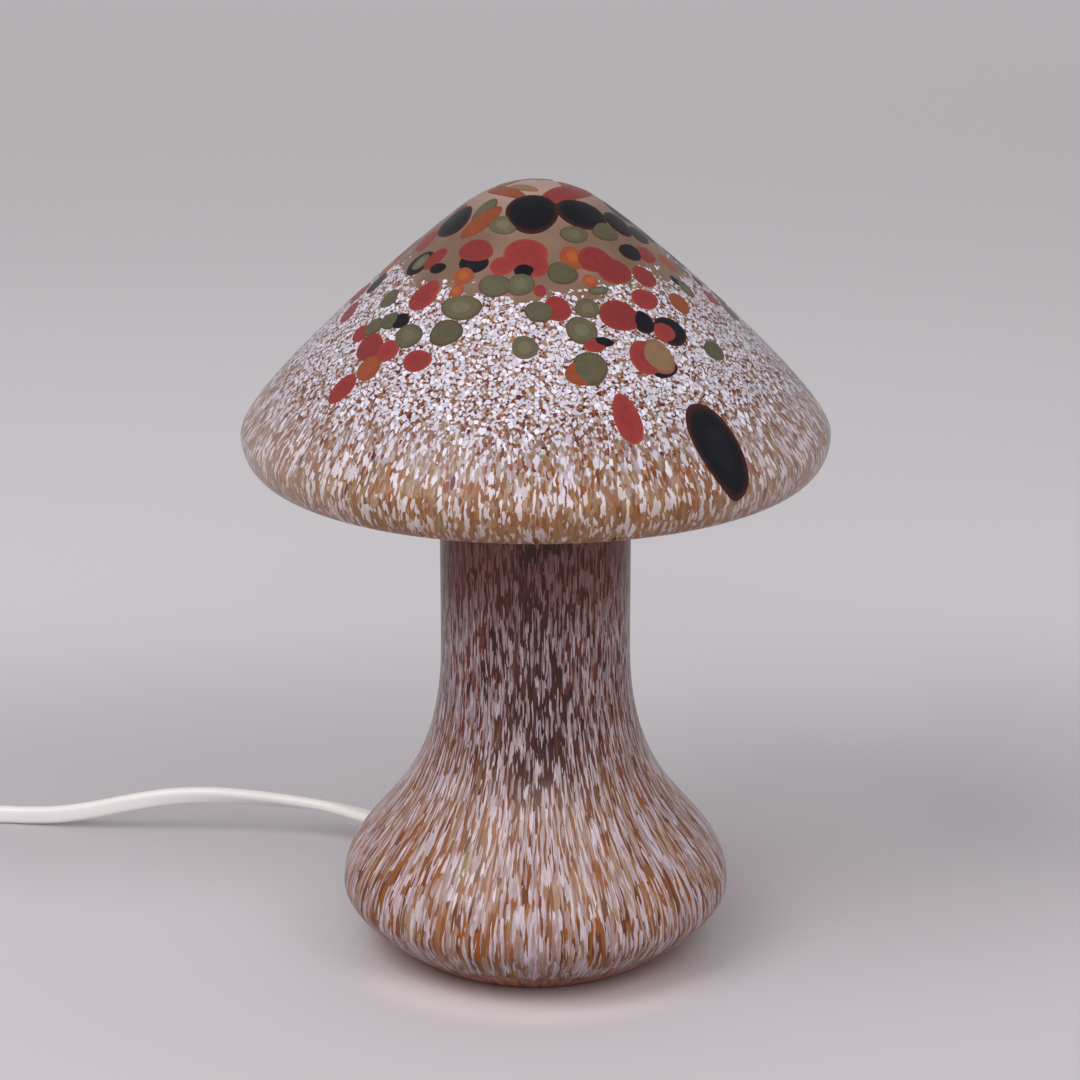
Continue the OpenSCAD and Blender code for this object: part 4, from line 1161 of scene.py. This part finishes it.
# How far the edges of moulded pieces are rounded, in millimetres
ROUNDED = {
    "switch_base": 0.35, "switch_cover": 0.35, "switch_rocker": 0.4, "plug_body": 0.5,
    "cord_grommet": 0.3, "coil_tie": 0.2, "holder_skirt": 0.3, "holder_ring": 0.3,
    "holder_body": 0.25, "seat_gasket": 0.4,
}
ROUNDED_STEPS = 2
WELD_DISTANCE = 1e-6  # metres
SHARP_ANGLE = 40  # edges that bend more are rounded, in degrees


def dress_nodes():
    """The CAD pieces that stay get their own materials, and the moulded ones soft edges."""
    for row in frame["record"]["subparts"]:
        piece = nodes[row["node"]]
        piece.data.materials.clear()
        piece.data.materials.append(MATERIALS[row["material_slot"]])
    for name, width in ROUNDED.items():
        weld = nodes[name].modifiers.new("weld", "WELD")
        weld.merge_threshold = WELD_DISTANCE
        bevel = nodes[name].modifiers.new("bevel", "BEVEL")
        bevel.width = width * MM
        bevel.segments = ROUNDED_STEPS
        bevel.limit_method = "ANGLE"
        bevel.angle_limit = math.radians(SHARP_ANGLE)
        bevel.harden_normals = True


dress_nodes()


# ---- floor and light

FLOOR_SIZE = 8.0  # metres from the middle to each side

# The floor grows paler behind the lamp: from and to how far back in metres, and the tone there
FLOOR_TONES = [
    (-0.1, 0.5, srgb(229, 224, 228)),
    (0.4, 0.9, srgb(234, 229, 233)),
    (1.0, 2.6, srgb(252, 248, 252)),
]
# A painted shadow, a soft darker band behind the lamp: where it begins and ends going back, and
# where it grows darker to the left, which is the cord's side, and to the right, in metres
SHADOW_BAND_BEGINS = (0.01, 0.1)
SHADOW_BAND_ENDS = (0.37, 0.14)
SHADOW_BAND_LEFT = (0.04, -0.06)
SHADOW_BAND_RIGHT = (0.12, 0.2)
WARM_SHADOW_RADII = (0.068, 0.042)  # metres from the lamp's middle to the painted warm shadow by its foot
LIT_RING_INSIDE = (0.045, 0.055)  # the inner and outer edge of the ring of painted light round that
LIT_RING_OUTSIDE = (0.078, 0.062)
LIT_RING_DEPTHS = (-0.02, -0.045)  # it shows in front of the lamp

# Soft boxes: name, width and height in metres, watts, the way to it, distance in metres
LAMPS = [
    ("key", (0.8, 0.8), 10.8, (-0.50, -0.46, 0.73), 1.5),
    ("right", (0.5, 0.6), 2.4, (0.50, -0.66, 0.56), 1.1),
    ("front", (1.0, 0.6), 6.4, (-0.06, -0.87, 0.48), 1.6),
]
LIGHT_AIM = Vector((0.0, 0.0, 0.12))  # metres
STUDIO_LEVEL = 0.43  # the world's strength


def make_floor():
    mesh = bpy.data.meshes.new("floor")
    s = FLOOR_SIZE
    mesh.from_pydata([(-s, -s, 0), (s, -s, 0), (s, s, 0), (-s, s, 0)], [], [(0, 1, 2, 3)])
    paper = Shader("paper", 0.9)
    place = paper.place()
    across = paper.node("ShaderNodeSeparateXYZ", {0: place})
    depth = paper.node("ShaderNodeSeparateXYZ", {0: place}, 1)
    tone = paper.mix(paper.noise(place, 2.0, 2.0), srgb(204, 197, 202), srgb(201, 194, 199))
    for start, end, colour in FLOOR_TONES:
        tone = paper.mix(paper.span(depth, start, end), tone, colour)
    # Painted shadow: a soft darker band on the floor behind the lamp, strongest to the left
    shadow_band = paper.math("MULTIPLY", paper.span(depth, *SHADOW_BAND_BEGINS), paper.span(depth, *SHADOW_BAND_ENDS))
    left = paper.span(across, *SHADOW_BAND_LEFT, 0.1, 1.0)
    right = paper.span(across, *SHADOW_BAND_RIGHT, 0.0, 0.5)
    side = paper.math("MULTIPLY", paper.math("ADD", left, right), 0.32)
    tone = paper.mix(paper.math("MULTIPLY", shadow_band, side), tone, srgb(150, 144, 148))
    # Painted shadow and glow: the floor round the foot is painted darker and warmer, for its
    # shadow and for light that comes through the glass
    away = paper.node("ShaderNodeVectorMath", {0: place}, 1, operation="LENGTH")
    tone = paper.mix(paper.span(away, *WARM_SHADOW_RADII, 0.0, 0.6), tone, srgb(172, 136, 124))
    # Painted light: a paler ring on the floor in front of the foot
    ring = paper.math("MULTIPLY", paper.span(away, *LIT_RING_INSIDE), paper.span(away, *LIT_RING_OUTSIDE))
    ring = paper.math("MULTIPLY", ring, paper.span(depth, *LIT_RING_DEPTHS, 0.0, 0.55))
    paper.set("Base Color", paper.mix(ring, tone, srgb(234, 222, 224)))
    mesh.materials.append(paper.material)
    floor = bpy.data.objects.new("floor", mesh)
    bpy.context.scene.collection.objects.link(floor)


def make_light(name, size, watts, way, distance):
    """A soft box that looks at the lamp from a direction."""
    data = bpy.data.lights.new(name, "AREA")
    data.shape = "RECTANGLE"
    data.size, data.size_y = size
    data.energy = watts
    light = bpy.data.objects.new(name, data)
    way = Vector(way).normalized()
    light.location = way * distance + LIGHT_AIM
    light.rotation_euler = way.to_track_quat("Z", "Y").to_euler()
    bpy.context.scene.collection.objects.link(light)


def light_scene():
    for lamp in LAMPS:
        make_light(*lamp)
    world = bpy.data.worlds.new("studio")
    world.use_nodes = True
    background = world.node_tree.nodes["Background"]
    background.inputs["Color"].default_value = (1.0, 1.0, 1.0, 1.0)
    background.inputs["Strength"].default_value = STUDIO_LEVEL
    bpy.context.scene.world = world
    bpy.context.scene.view_settings.view_transform = "Standard"


make_floor()
light_scene()
